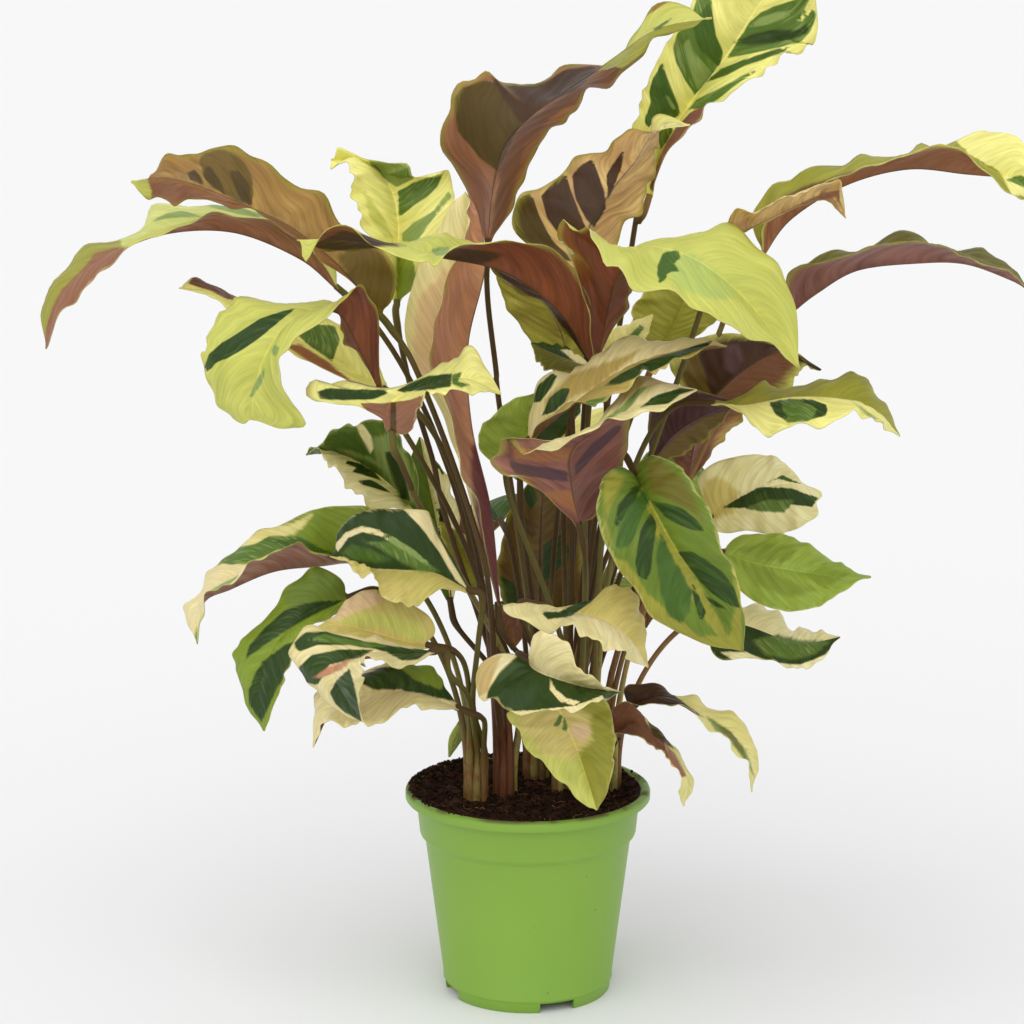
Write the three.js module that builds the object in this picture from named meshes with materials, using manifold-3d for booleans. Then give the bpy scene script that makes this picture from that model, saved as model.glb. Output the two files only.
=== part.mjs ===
// A variegated prayer plant (calathea) in a green nursery pot.
// Millimetres, +Z up. The origin is the centre of the pot's foot on the table, and the viewer stands at -Y.
import * as THREE from 'three';
import { mergeVertices } from 'three/addons/utils/BufferGeometryUtils.js';
import Module from 'manifold-3d';

const wasm = await Module();
wasm.setup();

// ---------------------------------------------------------------- driving dimensions

const POT_HEIGHT = 145;
const RIM_RADIUS = 85;
const RIM_LIP_HEIGHT = 7;
const RIM_INNER_RADIUS = 80.5;
const FLARE_HEIGHT = 4.6;
const BAND_TOP_RADIUS = 77.8;
const BAND_RADIUS = 75.2;
const BAND_BOTTOM = POT_HEIGHT - 34;
const BAND_STEP = 3;
const WALL_TOP_RADIUS = 71.6;
const FOOT_RADIUS = 57.8;
const FOOT_RING = 3.2;
const WALL = 1.8;
const FOOT_RECESS = 8;
const POT_SIDES = 40;
const NOTCH_WIDTH = 25;
const NOTCH_COUNT = 4;
const NOTCH_HEIGHT = 7;
const FIRST_NOTCH_DEGREES = 20.6;

const SOIL_HEIGHT = 137;
const SOIL_EDGE_RISE = 6.2;
const SOIL_EDGE_WIDTH = 14;
const SOIL_LUMP_HEIGHT = 2.5;
const SOIL_LUMP_LENGTH = 7;
const SOIL_RINGS = 4;
const HOLE_SIDES = 12;
const GAP = 0.3;
const JOIN_TOLERANCE = 0.03;
const WELD_TOLERANCE = 1e-4;

const STALK_SINK = 24;
const STALK_STRAIGHT = 12;
const STALK_SIDES = 6;
const STALK_STEPS = 6;
const SHEATH_RADIUS = 3.5;
const SHEATH_HEIGHT = 0.3;
const STALK_RADIUS = 2.2;
const NECK_RADIUS = 2.5;
const STALK_LIFT = 0.3;
const STALK_RISE = 0.5;
const NECK_BEND = 0.15;
const NECK_LENGTH = 12;
const FOOT_SPACING = 5.2;

const BLADE_STEPS = 7;
const HALF_STEPS = 2;
const RIB_THICKNESS = 2.4;
const EDGE_THICKNESS = 0.9;
const NECK_HALF_WIDTH = 2.6;
const TIP_HALF_WIDTH = 1.3;
const LEAF_FULLNESS = 0.6;
const ALONG_STEP = 0.02;
const ACROSS_STEP = 0.5;

// The places below were read off a 1024-pixel picture taken from this standpoint. Each one is a pixel's
// column and row with its distance behind the pot's axis in millimetres, less than zero being nearer.
const PICTURE_CENTRE = 512;
const PICTURE_FOCUS = 2952;
const EYE = new THREE.Vector3(-11, -1970, 747);
const EYE_PITCH = THREE.MathUtils.degToRad(11.69);

// ---------------------------------------------------------------- colours

const APPLE_GREEN = 0x85b248;
const SOIL_BROWN = 0x2d1810;
const STALK_BROWN = 0x6b5438;
const STALK_TAN = 0x8c6e55;
const LIME = 0x9fb84b;
const YELLOW = 0xd6cc5e;
const CREAM = 0xe0cf9c;
const MID_GREEN = 0x5d8a3c;
const DARK_GREEN = 0x2c452d;
const PURPLE_BROWN = 0x7d4b41;
const GOLD_BROWN = 0xa07a46;
const MAUVE = 0x8c5564;
const TAN = 0xb39868;

const STALK_ROUGHNESS = 0.6;
const LEAF_ROUGHNESS = 0.5;
const SOIL_ROUGHNESS = 0.95;
const POT_ROUGHNESS = 0.45;

// ---------------------------------------------------------------- shoots and leaves

// Each shoot's place on the soil, [x, y], and the colour of its stalks.
const SHOOTS = {
  left: { place: [-16, 14], colour: STALK_BROWN },
  left_front: { place: [-36, 2], colour: STALK_TAN },
  front: { place: [26, 20], colour: STALK_BROWN },
  centre: { place: [6, 52], colour: STALK_BROWN },
  right_front: { place: [41, 0], colour: STALK_BROWN },
  right: { place: [58, 24], colour: STALK_TAN },
  back: { place: [34, 45], colour: STALK_BROWN },
};

// Each leaf has its shoot, half its greatest width, and how its left and right halves turn: -1 brings the
// edge toward the viewer, +1 takes it away. Its stations run from the stalk to the tip: the midrib's place
// [column, row, distance], and between the two ends also the left edge's and the right edge's pixel. Left
// and right are as seen on the leaf's upper face, looking from the stalk to the tip. A stalk that is seen
// has the places it passes in via, from the leaf down.
const LEAVES = [
  {
    name: 'leaf_far_left_arch', shoot: 'left', half: 42, sides: [-0.6, 1], colour: MAUVE,
    stations: [
      [338, 288, -15], [300, 257, -20, 300, 236, 312, 232], [234, 231, -22, 232, 215, 238, 207],
      [165, 233, -20, 162, 229, 165, 205], [108, 256, -15, 104, 268, 98, 242],
      [64, 292, -10, 76, 303, 52, 285], [46, 349, -10],
    ],
  },
  {
    name: 'leaf_upper_left_brown', shoot: 'left', half: 42, sides: [1, 0.5], colour: GOLD_BROWN,
    stations: [
      [380, 315, -60], [340, 266, -68, 392, 262, 325, 262], [292, 228, -75, 332, 203, 284, 229],
      [241, 204, -78, 262, 158, 236, 211], [192, 184, -75, 205, 151, 190, 204],
      [160, 178, -72, 160, 164, 158, 196], [131, 182, -70],
    ],
    via: [[413, 363, -68], [446, 444, -72], [476, 532, -72], [489, 589, -60], [496, 690, -18]],
  },
  {
    name: 'leaf_left_lime_droop', shoot: 'left', half: 46, sides: [-0.5, 1], colour: LIME,
    stations: [
      [380, 388, -75], [362, 352, -88, 381, 325, 350, 345], [338, 312, -100, 355, 288, 328, 322],
      [295, 318, -112, 302, 332, 273, 302], [266, 355, -118, 286, 375, 205, 352],
      [254, 395, -114, 306, 424, 218, 402], [252, 420, -108],
    ],
  },
  {
    name: 'leaf_left_yellow', shoot: 'left', half: 36, sides: [-0.3, 1], colour: YELLOW,
    stations: [
      [385, 389, -35], [345, 366, -32, 335, 375, 385, 335], [300, 340, -28, 285, 348, 330, 305],
      [250, 310, -25, 240, 322, 262, 293], [215, 292, -22, 212, 297, 213, 285], [179, 288, -20],
    ],
  },
  {
    name: 'leaf_upper_yellow', shoot: 'left', half: 40, sides: [-1, -1], colour: YELLOW,
    stations: [
      [397, 302, 15], [398, 262, 20, 372, 262, 421, 262], [398, 222, 25, 362, 225, 450, 215],
      [391, 190, 28, 352, 192, 448, 178], [372, 163, 25, 347, 170, 410, 170], [331, 160, 18],
    ],
    via: [[410, 385, 12], [433, 461, 8], [447, 522, 4]],
  },
  {
    name: 'leaf_left_back_dark', shoot: 'left', half: 40, sides: [-1, -1], colour: DARK_GREEN,
    stations: [
      [420, 518, 20], [396, 490, 22, 374, 508, 410, 455], [365, 466, 25, 348, 485, 372, 427],
      [335, 453, 22, 328, 461, 330, 436], [306, 455, 15],
    ],
  },
  {
    name: 'leaf_left_yellow_edge', shoot: 'left', half: 40, sides: [0.4, -0.6], colour: YELLOW,
    stations: [
      [392, 433, -108], [390, 404, -112, 315, 393, 418, 410], [430, 385, -118, 440, 367, 432, 393],
      [465, 378, -118, 471, 346, 468, 392], [501, 394, -116],
    ],
    via: [[400, 461, -98], [411, 486, -84], [421, 508, -72]],
  },
  {
    name: 'leaf_left_mid_dark', shoot: 'left_front', half: 40, sides: [-1, 0.6], colour: DARK_GREEN,
    stations: [
      [468, 590, -75], [435, 573, -85, 430, 598, 440, 530], [400, 570, -92, 400, 606, 404, 513],
      [368, 568, -95, 372, 590, 360, 515], [345, 560, -92, 355, 572, 337, 538], [330, 556, -88],
    ],
    via: [[478, 645, -58], [473, 705, -26]],
  },
  {
    name: 'leaf_left_arch', shoot: 'left_front', half: 38, sides: [-1, 1], colour: MAUVE,
    stations: [
      [360, 562, -25], [323, 565, -30, 323, 553, 325, 508], [275, 570, -32, 282, 547, 278, 524],
      [231, 588, -32, 240, 575, 225, 552], [203, 603, -30, 206, 600, 192, 603], [197, 644, -28],
    ],
  },
  {
    name: 'leaf_left_hanging_green', shoot: 'left_front', half: 38, sides: [-0.5, 0.5], colour: MID_GREEN,
    stations: [
      [349, 597, -55], [310, 612, -60, 322, 627, 300, 575], [275, 645, -66, 292, 642, 245, 635],
      [259, 685, -68, 280, 683, 238, 680], [264, 731, -66],
    ],
  },
  {
    name: 'leaf_front_left_striped', shoot: 'left_front', half: 40, sides: [-1, 0.7], colour: CREAM,
    stations: [
      [432, 652, -105], [398, 655, -125, 400, 667, 392, 644], [360, 658, -140, 365, 664, 362, 636],
      [333, 668, -148, 364, 664, 291, 648], [342, 692, -148, 361, 685, 318, 690], [363, 722, -142],
    ],
    via: [[450, 674, -85], [468, 697, -52]],
  },
  {
    name: 'leaf_front_left_pale', shoot: 'left_front', half: 38, sides: [-0.3, 0.3], colour: CREAM,
    stations: [
      [428, 645, -80], [400, 640, -86, 395, 650, 405, 607], [365, 630, -92, 360, 642, 370, 592],
      [340, 625, -92, 338, 635, 340, 608], [316, 628, -90],
    ],
  },
  {
    name: 'leaf_lower_left_cream', shoot: 'left_front', half: 40, sides: [-1, 0.8], colour: CREAM,
    stations: [
      [458, 708, -70], [415, 692, -80, 412, 706, 430, 668], [372, 694, -90, 368, 724, 385, 665],
      [335, 705, -92, 335, 725, 320, 692], [313, 747, -85],
    ],
  },
  {
    name: 'leaf_small_at_soil', shoot: 'left_front', half: 10, sides: [0, 0], colour: LIME,
    stations: [[462, 722, 28], [456, 738, 30, 463, 738, 449, 738], [449, 757, 30]],
  },
  {
    name: 'leaf_rolled_cream', shoot: 'front', half: 44, sides: [0.2, -1], colour: CREAM,
    stations: [
      [498, 605, -50], [489, 510, -52, 473, 512, 476, 508], [470, 425, -45, 447, 425, 452, 430],
      [467, 345, -35, 407, 343, 431, 340], [484, 268, -25, 414, 280, 452, 272],
      [477, 215, -15, 447, 212, 470, 215], [465, 192, -10],
    ],
  },
  {
    name: 'leaf_lower_centre_cream', shoot: 'front', half: 36, sides: [0.8, -1], colour: CREAM,
    stations: [
      [545, 606, -95], [575, 612, -105, 590, 602, 551, 631], [608, 622, -112, 622, 585, 592, 640],
      [632, 642, -112, 642, 617, 620, 655], [648, 667, -105],
    ],
  },
  {
    name: 'leaf_lower_dark_fold', shoot: 'front', half: 36, sides: [-0.5, -1], colour: DARK_GREEN,
    stations: [
      [528, 664, -112], [535, 670, -122, 540, 640, 478, 690], [548, 676, -132, 552, 633, 515, 712],
      [580, 686, -135, 577, 662, 562, 714], [602, 690, -135, 600, 682, 598, 703], [620, 692, -130],
    ],
  },
  {
    name: 'leaf_front_bottom_pale', shoot: 'front', half: 40, sides: [-0.3, -0.3], colour: LIME,
    stations: [
      [553, 690, -84], [560, 712, -90, 612, 702, 509, 713], [574, 742, -92, 615, 740, 527, 746],
      [586, 775, -92, 612, 772, 560, 778], [597, 810, -90],
    ],
  },
  {
    name: 'leaf_long_purple', shoot: 'front', half: 34, sides: [-1, 1], colour: PURPLE_BROWN,
    stations: [
      [593, 364, -40], [561, 312, -70, 592, 300, 555, 318], [505, 271, -98, 530, 240, 500, 275],
      [444, 257, -115, 447, 250, 455, 234], [412, 252, -124, 418, 263, 415, 243],
      [350, 240, -128, 352, 227, 345, 253], [297, 240, -122],
    ],
  },
  {
    name: 'leaf_top_centre_brown', shoot: 'centre', half: 46, sides: [1, 1], colour: PURPLE_BROWN,
    stations: [
      [488, 241, 30], [492, 195, 28, 515, 200, 470, 200], [502, 150, 26, 537, 150, 440, 124],
      [526, 120, 23, 562, 117, 486, 72], [556, 98, 20, 584, 99, 530, 84], [600, 68, 15, 617, 75, 598, 63],
      [655, 30, 8, 645, 17, 668, 38], [712, 18, 0],
    ],
    via: [[488, 303, 28], [496, 370, 25], [500, 410, 22]],
  },
  {
    name: 'leaf_olive_under', shoot: 'front', half: 34, sides: [0.3, 0.3], colour: LIME,
    stations: [
      [568, 375, -4], [563, 338, -8, 590, 340, 535, 345], [545, 300, -10, 580, 290, 507, 307],
      [520, 270, -8, 545, 265, 497, 272], [505, 240, -4],
    ],
  },
  {
    name: 'leaf_inner_diamonds', shoot: 'centre', half: 40, sides: [0.4, 0.4], colour: TAN,
    stations: [
      [540, 640, 76], [540, 600, 78, 580, 600, 503, 600], [540, 550, 80, 581, 548, 498, 560],
      [542, 505, 80, 570, 508, 515, 500], [545, 470, 80],
    ],
  },
  {
    name: 'leaf_back_left_dark', shoot: 'centre', half: 32, sides: [-0.5, -0.5], colour: DARK_GREEN,
    stations: [
      [450, 600, 58], [440, 540, 64, 418, 545, 462, 545], [428, 480, 66, 405, 480, 450, 485],
      [420, 437, 64],
    ],
  },
  {
    name: 'leaf_small_olive', shoot: 'centre', half: 16, sides: [-1, -1], colour: GOLD_BROWN,
    stations: [
      [480, 590, 42], [470, 565, 40, 455, 578, 483, 560], [455, 540, 38, 441, 530, 470, 540],
      [440, 522, 40],
    ],
  },
  {
    name: 'leaf_centre_mid_green', shoot: 'centre', half: 34, sides: [-0.5, -0.5], colour: MID_GREEN,
    stations: [
      [520, 480, 20], [520, 440, 20, 478, 445, 560, 440], [545, 405, 22, 505, 405, 580, 410],
      [590, 375, 28],
    ],
  },
  {
    name: 'leaf_centre_small_dark', shoot: 'front', half: 20, sides: [-1, 1], colour: DARK_GREEN,
    stations: [
      [592, 368, -25], [570, 360, -32, 560, 372, 568, 349], [550, 352, -38, 540, 365, 553, 345],
      [531, 343, -40],
    ],
  },
  {
    name: 'leaf_centre_small_cream', shoot: 'front', half: 20, sides: [0.5, -0.5], colour: CREAM,
    stations: [
      [600, 365, -8], [618, 345, -12, 605, 335, 632, 350], [635, 330, -14, 630, 323, 645, 340],
      [653, 315, -14],
    ],
  },
  {
    name: 'leaf_large_lime', shoot: 'right_front', half: 46, sides: [1, -1], colour: LIME,
    stations: [
      [596, 362, -55], [607, 308, -68, 626, 308, 584, 288], [618, 275, -82, 640, 280, 566, 224],
      [640, 248, -94, 668, 246, 600, 262], [690, 257, -106, 712, 228, 668, 302],
      [745, 299, -112, 777, 263, 738, 320], [799, 368, -108],
    ],
  },
  {
    name: 'leaf_centre_cream_striped', shoot: 'right_front', half: 36, sides: [1, -1], colour: CREAM,
    stations: [
      [528, 440, -75], [565, 410, -85, 548, 378, 585, 407], [612, 376, -95, 600, 352, 634, 383],
      [660, 356, -100, 655, 339, 668, 366], [727, 346, -95],
    ],
  },
  {
    name: 'leaf_centre_purple_fold', shoot: 'right_front', half: 44, sides: [1, -0.5], colour: MAUVE,
    stations: [
      [579, 525, -100], [571, 488, -112, 605, 480, 530, 480], [572, 450, -120, 625, 435, 500, 450],
      [610, 422, -125, 622, 392, 605, 429], [655, 400, -125, 640, 375, 660, 410], [697, 390, -118],
    ],
  },
  {
    name: 'leaf_front_right_green', shoot: 'right_front', half: 50, sides: [-0.4, -0.4], colour: MID_GREEN,
    stations: [
      [635, 474, -95], [641, 486, -102, 660, 456, 612, 470], [650, 503, -112, 688, 478, 599, 497],
      [678, 552, -125, 722, 537, 612, 560], [710, 598, -128, 740, 588, 650, 618], [743, 651, -120],
    ],
  },
  {
    name: 'leaf_right_yellow', shoot: 'right_front', half: 36, sides: [1, -1], colour: YELLOW,
    stations: [
      [712, 403, -70], [745, 405, -78, 762, 386, 752, 428], [795, 397, -82, 790, 390, 792, 428],
      [845, 400, -82, 845, 374, 850, 415], [877, 414, -80, 883, 400, 874, 425], [900, 436, -75],
    ],
  },
  {
    name: 'leaf_right_droop_long', shoot: 'right', half: 20, sides: [1, -1], colour: PURPLE_BROWN,
    stations: [
      [629, 712, -20], [652, 697, -30, 655, 686, 655, 705], [680, 703, -35, 685, 694, 683, 709],
      [712, 724, -38, 720, 709, 710, 733], [742, 745, -40, 752, 738, 730, 750],
      [753, 768, -40, 758, 766, 748, 772], [752, 792, -38],
    ],
  },
  {
    name: 'leaf_right_droop_short', shoot: 'right', half: 20, sides: [1, -1], colour: PURPLE_BROWN,
    stations: [
      [617, 739, -38], [632, 722, -52, 625, 703, 632, 735], [655, 738, -60, 652, 722, 655, 747],
      [674, 757, -66, 683, 752, 670, 758], [687, 782, -70, 694, 778, 680, 783], [684, 806, -68],
    ],
  },
  {
    name: 'leaf_right_lime_green', shoot: 'right', half: 36, sides: [0.5, -0.5], colour: LIME,
    stations: [
      [722, 552, -20], [755, 563, -25, 760, 534, 758, 602], [797, 571, -28, 800, 541, 800, 610],
      [837, 577, -28, 838, 563, 835, 597], [871, 577, -25],
    ],
  },
  {
    name: 'leaf_right_cream_dark', shoot: 'right', half: 32, sides: [1, -0.6], colour: CREAM,
    stations: [
      [722, 622, 15], [748, 626, 12, 752, 607, 745, 658], [789, 641, 10, 787, 628, 790, 667],
      [815, 642, 10, 815, 631, 815, 662], [840, 637, 12],
    ],
  },
  {
    name: 'leaf_tan_banded', shoot: 'back', half: 44, sides: [0.5, 0.5], colour: TAN,
    stations: [
      [577, 270, 10], [588, 230, 12, 623, 243, 515, 215], [612, 190, 15, 645, 198, 560, 178],
      [634, 163, 18, 654, 160, 603, 152], [655, 133, 20, 662, 138, 646, 126], [690, 125, 12],
    ],
    via: [[585, 340, 38], [583, 430, 50]],
  },
  {
    name: 'leaf_top_right_variegated', shoot: 'back', half: 46, sides: [-0.7, -0.7], colour: YELLOW,
    stations: [
      [649, 197, 75], [668, 140, 77, 640, 118, 682, 132], [694, 98, 77, 646, 82, 728, 92],
      [728, 53, 72, 672, 38, 788, 58], [760, 3, 62, 705, -12, 817, 15], [797, -48, 50],
    ],
    via: [[638, 223, 76], [632, 245, 76]],
  },
  {
    name: 'leaf_right_arch_upper', shoot: 'back', half: 36, sides: [1, -1], colour: GOLD_BROWN,
    stations: [
      [762, 255, -15], [790, 218, -25, 770, 190, 770, 215], [845, 184, -40, 848, 165, 845, 176],
      [907, 168, -50, 905, 158, 905, 155], [965, 173, -60, 975, 140, 958, 148],
      [1016, 180, -70, 1022, 141, 1010, 195], [1036, 198, -76],
    ],
    via: [[740, 290, -6], [721, 316, 4], [714, 345, 12]],
  },
  {
    name: 'leaf_right_small_over', shoot: 'right_front', half: 24, sides: [0.5, -1], colour: GOLD_BROWN,
    stations: [
      [728, 240, -62], [748, 228, -75, 744, 233, 737, 208], [785, 210, -92, 783, 214, 785, 199],
      [825, 194, -100, 822, 200, 820, 187], [846, 218, -102],
    ],
    via: [[706, 290, -60], [688, 350, -56]],
  },
  {
    name: 'leaf_right_arch_lower', shoot: 'right', half: 36, sides: [1, -1], colour: MAUVE,
    stations: [
      [790, 312, 20], [816, 292, 10, 800, 266, 790, 272], [857, 269, 0, 850, 249, 845, 256],
      [917, 262, -15, 915, 232, 912, 240], [965, 263, -30, 975, 250, 962, 256],
      [1010, 279, -45, 1015, 266, 1007, 272], [1029, 290, -55],
    ],
    via: [[752, 345, 24], [716, 420, 18]],
  },
  {
    name: 'leaf_lime_behind', shoot: 'back', half: 38, sides: [-0.3, -0.3], colour: LIME,
    stations: [
      [660, 352, 15], [672, 328, 18, 632, 322, 712, 325], [688, 295, 20, 645, 292, 722, 300],
      [705, 262, 22],
    ],
  },
  {
    name: 'leaf_dark_brown_upper', shoot: 'back', half: 42, sides: [0.3, 0.3], colour: PURPLE_BROWN,
    stations: [
      [700, 412, 10], [722, 388, 5, 765, 400, 670, 360], [752, 364, 0, 790, 388, 715, 334],
      [785, 352, 0, 802, 368, 774, 342], [821, 370, 2],
    ],
  },
  {
    name: 'leaf_dark_brown_lower', shoot: 'back', half: 34, sides: [0.5, 0.5], colour: PURPLE_BROWN,
    stations: [
      [688, 480, 35], [694, 445, 33, 722, 440, 668, 448], [703, 418, 30, 745, 412, 680, 415],
      [722, 385, 30],
    ],
  },
  {
    name: 'leaf_dark_brown_inner', shoot: 'back', half: 30, sides: [0.5, 0.5], colour: PURPLE_BROWN,
    stations: [
      [652, 462, -20], [672, 436, -22, 690, 450, 652, 405], [700, 417, -24, 715, 430, 690, 390],
      [735, 402, -24],
    ],
    via: [[634, 530, 6], [611, 602, 32]],
  },
  {
    name: 'leaf_right_cream_green', shoot: 'right', half: 40, sides: [0.3, -0.3], colour: CREAM,
    stations: [
      [711, 517, 30], [735, 500, 28, 715, 462, 728, 532], [765, 487, 25, 765, 455, 765, 534],
      [795, 483, 25, 795, 466, 800, 526], [822, 496, 28],
    ],
  },
  {
    name: 'leaf_back_high', shoot: 'centre', half: 38, sides: [0, 0], colour: LIME,
    stations: [
      [565, 455, 92], [570, 425, 120, 535, 422, 605, 418], [577, 418, 150, 525, 412, 628, 410],
      [584, 432, 172, 548, 430, 620, 428], [588, 460, 184],
    ],
  },
  {
    name: 'leaf_back_right', shoot: 'back', half: 38, sides: [0, 0], colour: MID_GREEN,
    stations: [
      [640, 505, 90], [668, 480, 115, 640, 462, 690, 505], [695, 476, 142, 665, 446, 716, 510],
      [715, 492, 162, 700, 470, 722, 515], [722, 520, 172],
    ],
  },
  {
    name: 'leaf_back_left', shoot: 'centre', half: 36, sides: [0, 0], colour: DARK_GREEN,
    stations: [
      [500, 520, 90], [490, 505, 115, 462, 515, 518, 500], [482, 508, 142, 446, 520, 520, 500],
      [476, 528, 164, 452, 535, 500, 524], [472, 560, 175],
    ],
  },
  {
    name: 'leaf_back_low_right', shoot: 'back', half: 36, sides: [0, 0], colour: LIME,
    stations: [
      [600, 600, 92], [612, 580, 118, 580, 572, 640, 588], [626, 580, 145, 588, 566, 658, 592],
      [638, 598, 166, 610, 590, 660, 606], [646, 628, 176],
    ],
  },
  {
    name: 'leaf_back_low_left', shoot: 'centre', half: 36, sides: [0, 0], colour: CREAM,
    stations: [
      [540, 620, 98], [532, 600, 122, 500, 606, 562, 598], [524, 602, 148, 488, 612, 560, 600],
      [516, 620, 168, 494, 626, 540, 618], [512, 650, 178],
    ],
  },
];

// ---------------------------------------------------------------- picture to space

const forward = new THREE.Vector3(0, Math.cos(EYE_PITCH), -Math.sin(EYE_PITCH));
const upward = new THREE.Vector3(0, Math.sin(EYE_PITCH), Math.cos(EYE_PITCH));

// The point seen at a pixel, on the upright plane at the given distance behind the pot's axis.
function place(column, row, distance) {
  const ray = forward.clone();
  ray.x += (column - PICTURE_CENTRE) / PICTURE_FOCUS;
  ray.addScaledVector(upward, (PICTURE_CENTRE - row) / PICTURE_FOCUS);
  return EYE.clone().addScaledVector(ray, (distance - EYE.y) / ray.y);
}

// ---------------------------------------------------------------- closed shapes

// A closed geometry through equal loops of points, each loop seen anticlockwise from the last one's side.
// The sides from turned on are split along their other diagonal, so that a sheet's two faces bend alike.
function loft(loops, turned = Infinity) {
  const sides = loops[0].length;
  const index = [];
  for (let row = 0; row + 1 < loops.length; row += 1) {
    for (let side = 0; side < sides; side += 1) {
      const next = (side + 1) % sides;
      const here = row * sides;
      const there = here + sides;
      const corners = [here + side, here + next, there + next, there + side];
      const [a, b, c, d] = side < turned ? corners : [...corners.slice(1), corners[0]];
      index.push(a, b, c, a, c, d);
    }
  }
  const last = (loops.length - 1) * sides;
  for (let side = 1; side + 1 < sides; side += 1) {
    index.push(0, side + 1, side);
    index.push(last, last + side, last + side + 1);
  }
  const geometry = new THREE.BufferGeometry();
  const positions = loops.flat().flatMap((point) => point.toArray());
  geometry.setAttribute('position', new THREE.Float32BufferAttribute(positions, 3));
  geometry.setIndex(index);
  return geometry;
}

// A three.js geometry as a solid that can be joined and cut.
function solidOf(geometry) {
  const bare = new THREE.BufferGeometry();
  bare.setAttribute('position', geometry.getAttribute('position').clone());
  bare.setIndex(geometry.index ? geometry.index.clone() : null);
  const merged = mergeVertices(bare, WELD_TOLERANCE);
  return new wasm.Manifold(new wasm.Mesh({
    numProp: 3,
    vertProperties: Float32Array.from(merged.getAttribute('position').array),
    triVerts: Uint32Array.from(merged.index.array),
  }));
}

function geometryOf(solid) {
  const mesh = solid.getMesh();
  const geometry = new THREE.BufferGeometry();
  geometry.setAttribute('position', new THREE.Float32BufferAttribute(Array.from(mesh.vertProperties), 3));
  geometry.setIndex(Array.from(mesh.triVerts));
  return geometry;
}

// Joins pieces into one body, with the sealed pockets where they pinch together filled.
function joined(geometries) {
  const whole = geometries.map(solidOf).reduce((sum, piece) => sum.add(piece));
  const bodies = whole.simplify(JOIN_TOLERANCE).decompose();
  return bodies.reduce((one, other) => (one.volume() > other.volume() ? one : other));
}

const plant = new THREE.Group();

function addMesh(name, geometry, colour, roughness) {
  geometry.computeVertexNormals();
  const material = new THREE.MeshStandardMaterial({ color: colour, roughness, metalness: 0 });
  const mesh = new THREE.Mesh(geometry, material);
  mesh.name = name;
  plant.add(mesh);
}

// ---------------------------------------------------------------- leaf blades

// Runs a smooth curve through points, with a straight run-in and run-out.
function throughPoints(points, t) {
  const last = points.length - 1;
  const scaled = Math.min(Math.max(t, 0), 1) * last;
  const span = Math.min(Math.floor(scaled), last - 1);
  const f = scaled - span;
  const p1 = points[span];
  const p2 = points[span + 1];
  const p0 = span > 0 ? points[span - 1] : p1.clone().multiplyScalar(2).sub(p2);
  const p3 = span + 2 <= last ? points[span + 2] : p2.clone().multiplyScalar(2).sub(p1);
  const blend = (a, b, c, d) => 0.5 * (2 * b + (c - a) * f + (2 * a - 5 * b + 4 * c - d) * f * f
    + (3 * b - a - 3 * c + d) * f * f * f);
  return new THREE.Vector3(
    blend(p0.x, p1.x, p2.x, p3.x), blend(p0.y, p1.y, p2.y, p3.y), blend(p0.z, p1.z, p2.z, p3.z),
  );
}

// The way a curve runs at t.
function direction(points, t) {
  return throughPoints(points, t + ALONG_STEP).sub(throughPoints(points, t - ALONG_STEP)).normalize();
}

// How wide a leaf is for its length, 1 at its widest.
const fullness = (u) => (4 * u * (1 - u)) ** LEAF_FULLNESS;

// The midrib and the two edges of a leaf, as points from its neck to its tip.
function ribAndEdges(leaf) {
  const last = leaf.stations.length - 1;
  const rib = leaf.stations.map(([column, row, distance]) => place(column, row, distance));
  const edges = [0, 1].map((side) => leaf.stations.map((station, number) => {
    if (number === 0 || number === last) {
      return null;
    }
    const flat = place(station[3 + 2 * side], station[4 + 2 * side], station[2]);
    const shown = flat.distanceTo(rib[number]);
    const wide = leaf.half * fullness(number / last);
    const turned = Math.sqrt(Math.max(0, wide * wide - shown * shown)) * leaf.sides[side];
    return place(station[3 + 2 * side], station[4 + 2 * side], station[2] + turned);
  }));
  const ends = [[0, 1, NECK_HALF_WIDTH], [last, last - 1, TIP_HALF_WIDTH]];
  for (const [end, near, width] of ends) {
    const along = rib[near].clone().sub(rib[end]).normalize();
    const across = edges[1][near].clone().sub(edges[0][near]);
    across.addScaledVector(along, -across.dot(along)).normalize();
    edges[0][end] = rib[end].clone().addScaledVector(across, -width);
    edges[1][end] = rib[end].clone().addScaledVector(across, width);
  }
  return { rib, left: edges[0], right: edges[1] };
}

// A point of a blade: u runs from neck to tip, v from -1 at the left edge to 1 at the right edge.
function bladePoint(lines, u, v) {
  const middle = throughPoints(lines.rib, u);
  const edge = throughPoints(v < 0 ? lines.left : lines.right, u);
  return middle.lerp(edge, Math.abs(v));
}

// The way the blade's upper face looks at u, v.
function bladeNormal(lines, u, v) {
  const across = bladePoint(lines, u, Math.min(v + ACROSS_STEP, 1));
  across.sub(bladePoint(lines, u, Math.max(v - ACROSS_STEP, -1)));
  return across.cross(direction(lines.rib, u)).normalize();
}

function bladeGeometry(lines) {
  const loops = [];
  for (let step = 0; step <= BLADE_STEPS; step += 1) {
    const u = step / BLADE_STEPS;
    const upper = [];
    const lower = [];
    for (let number = -HALF_STEPS; number <= HALF_STEPS; number += 1) {
      const v = number / HALF_STEPS;
      const point = bladePoint(lines, u, v);
      const normal = bladeNormal(lines, u, v);
      const thickness = RIB_THICKNESS + (EDGE_THICKNESS - RIB_THICKNESS) * Math.abs(v);
      upper.push(point.clone().addScaledVector(normal, thickness / 2));
      lower.unshift(point.clone().addScaledVector(normal, -thickness / 2));
    }
    loops.push([...upper, ...lower]);
  }
  return loft(loops, 2 * HALF_STEPS + 1);
}

// ---------------------------------------------------------------- stalks

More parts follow.
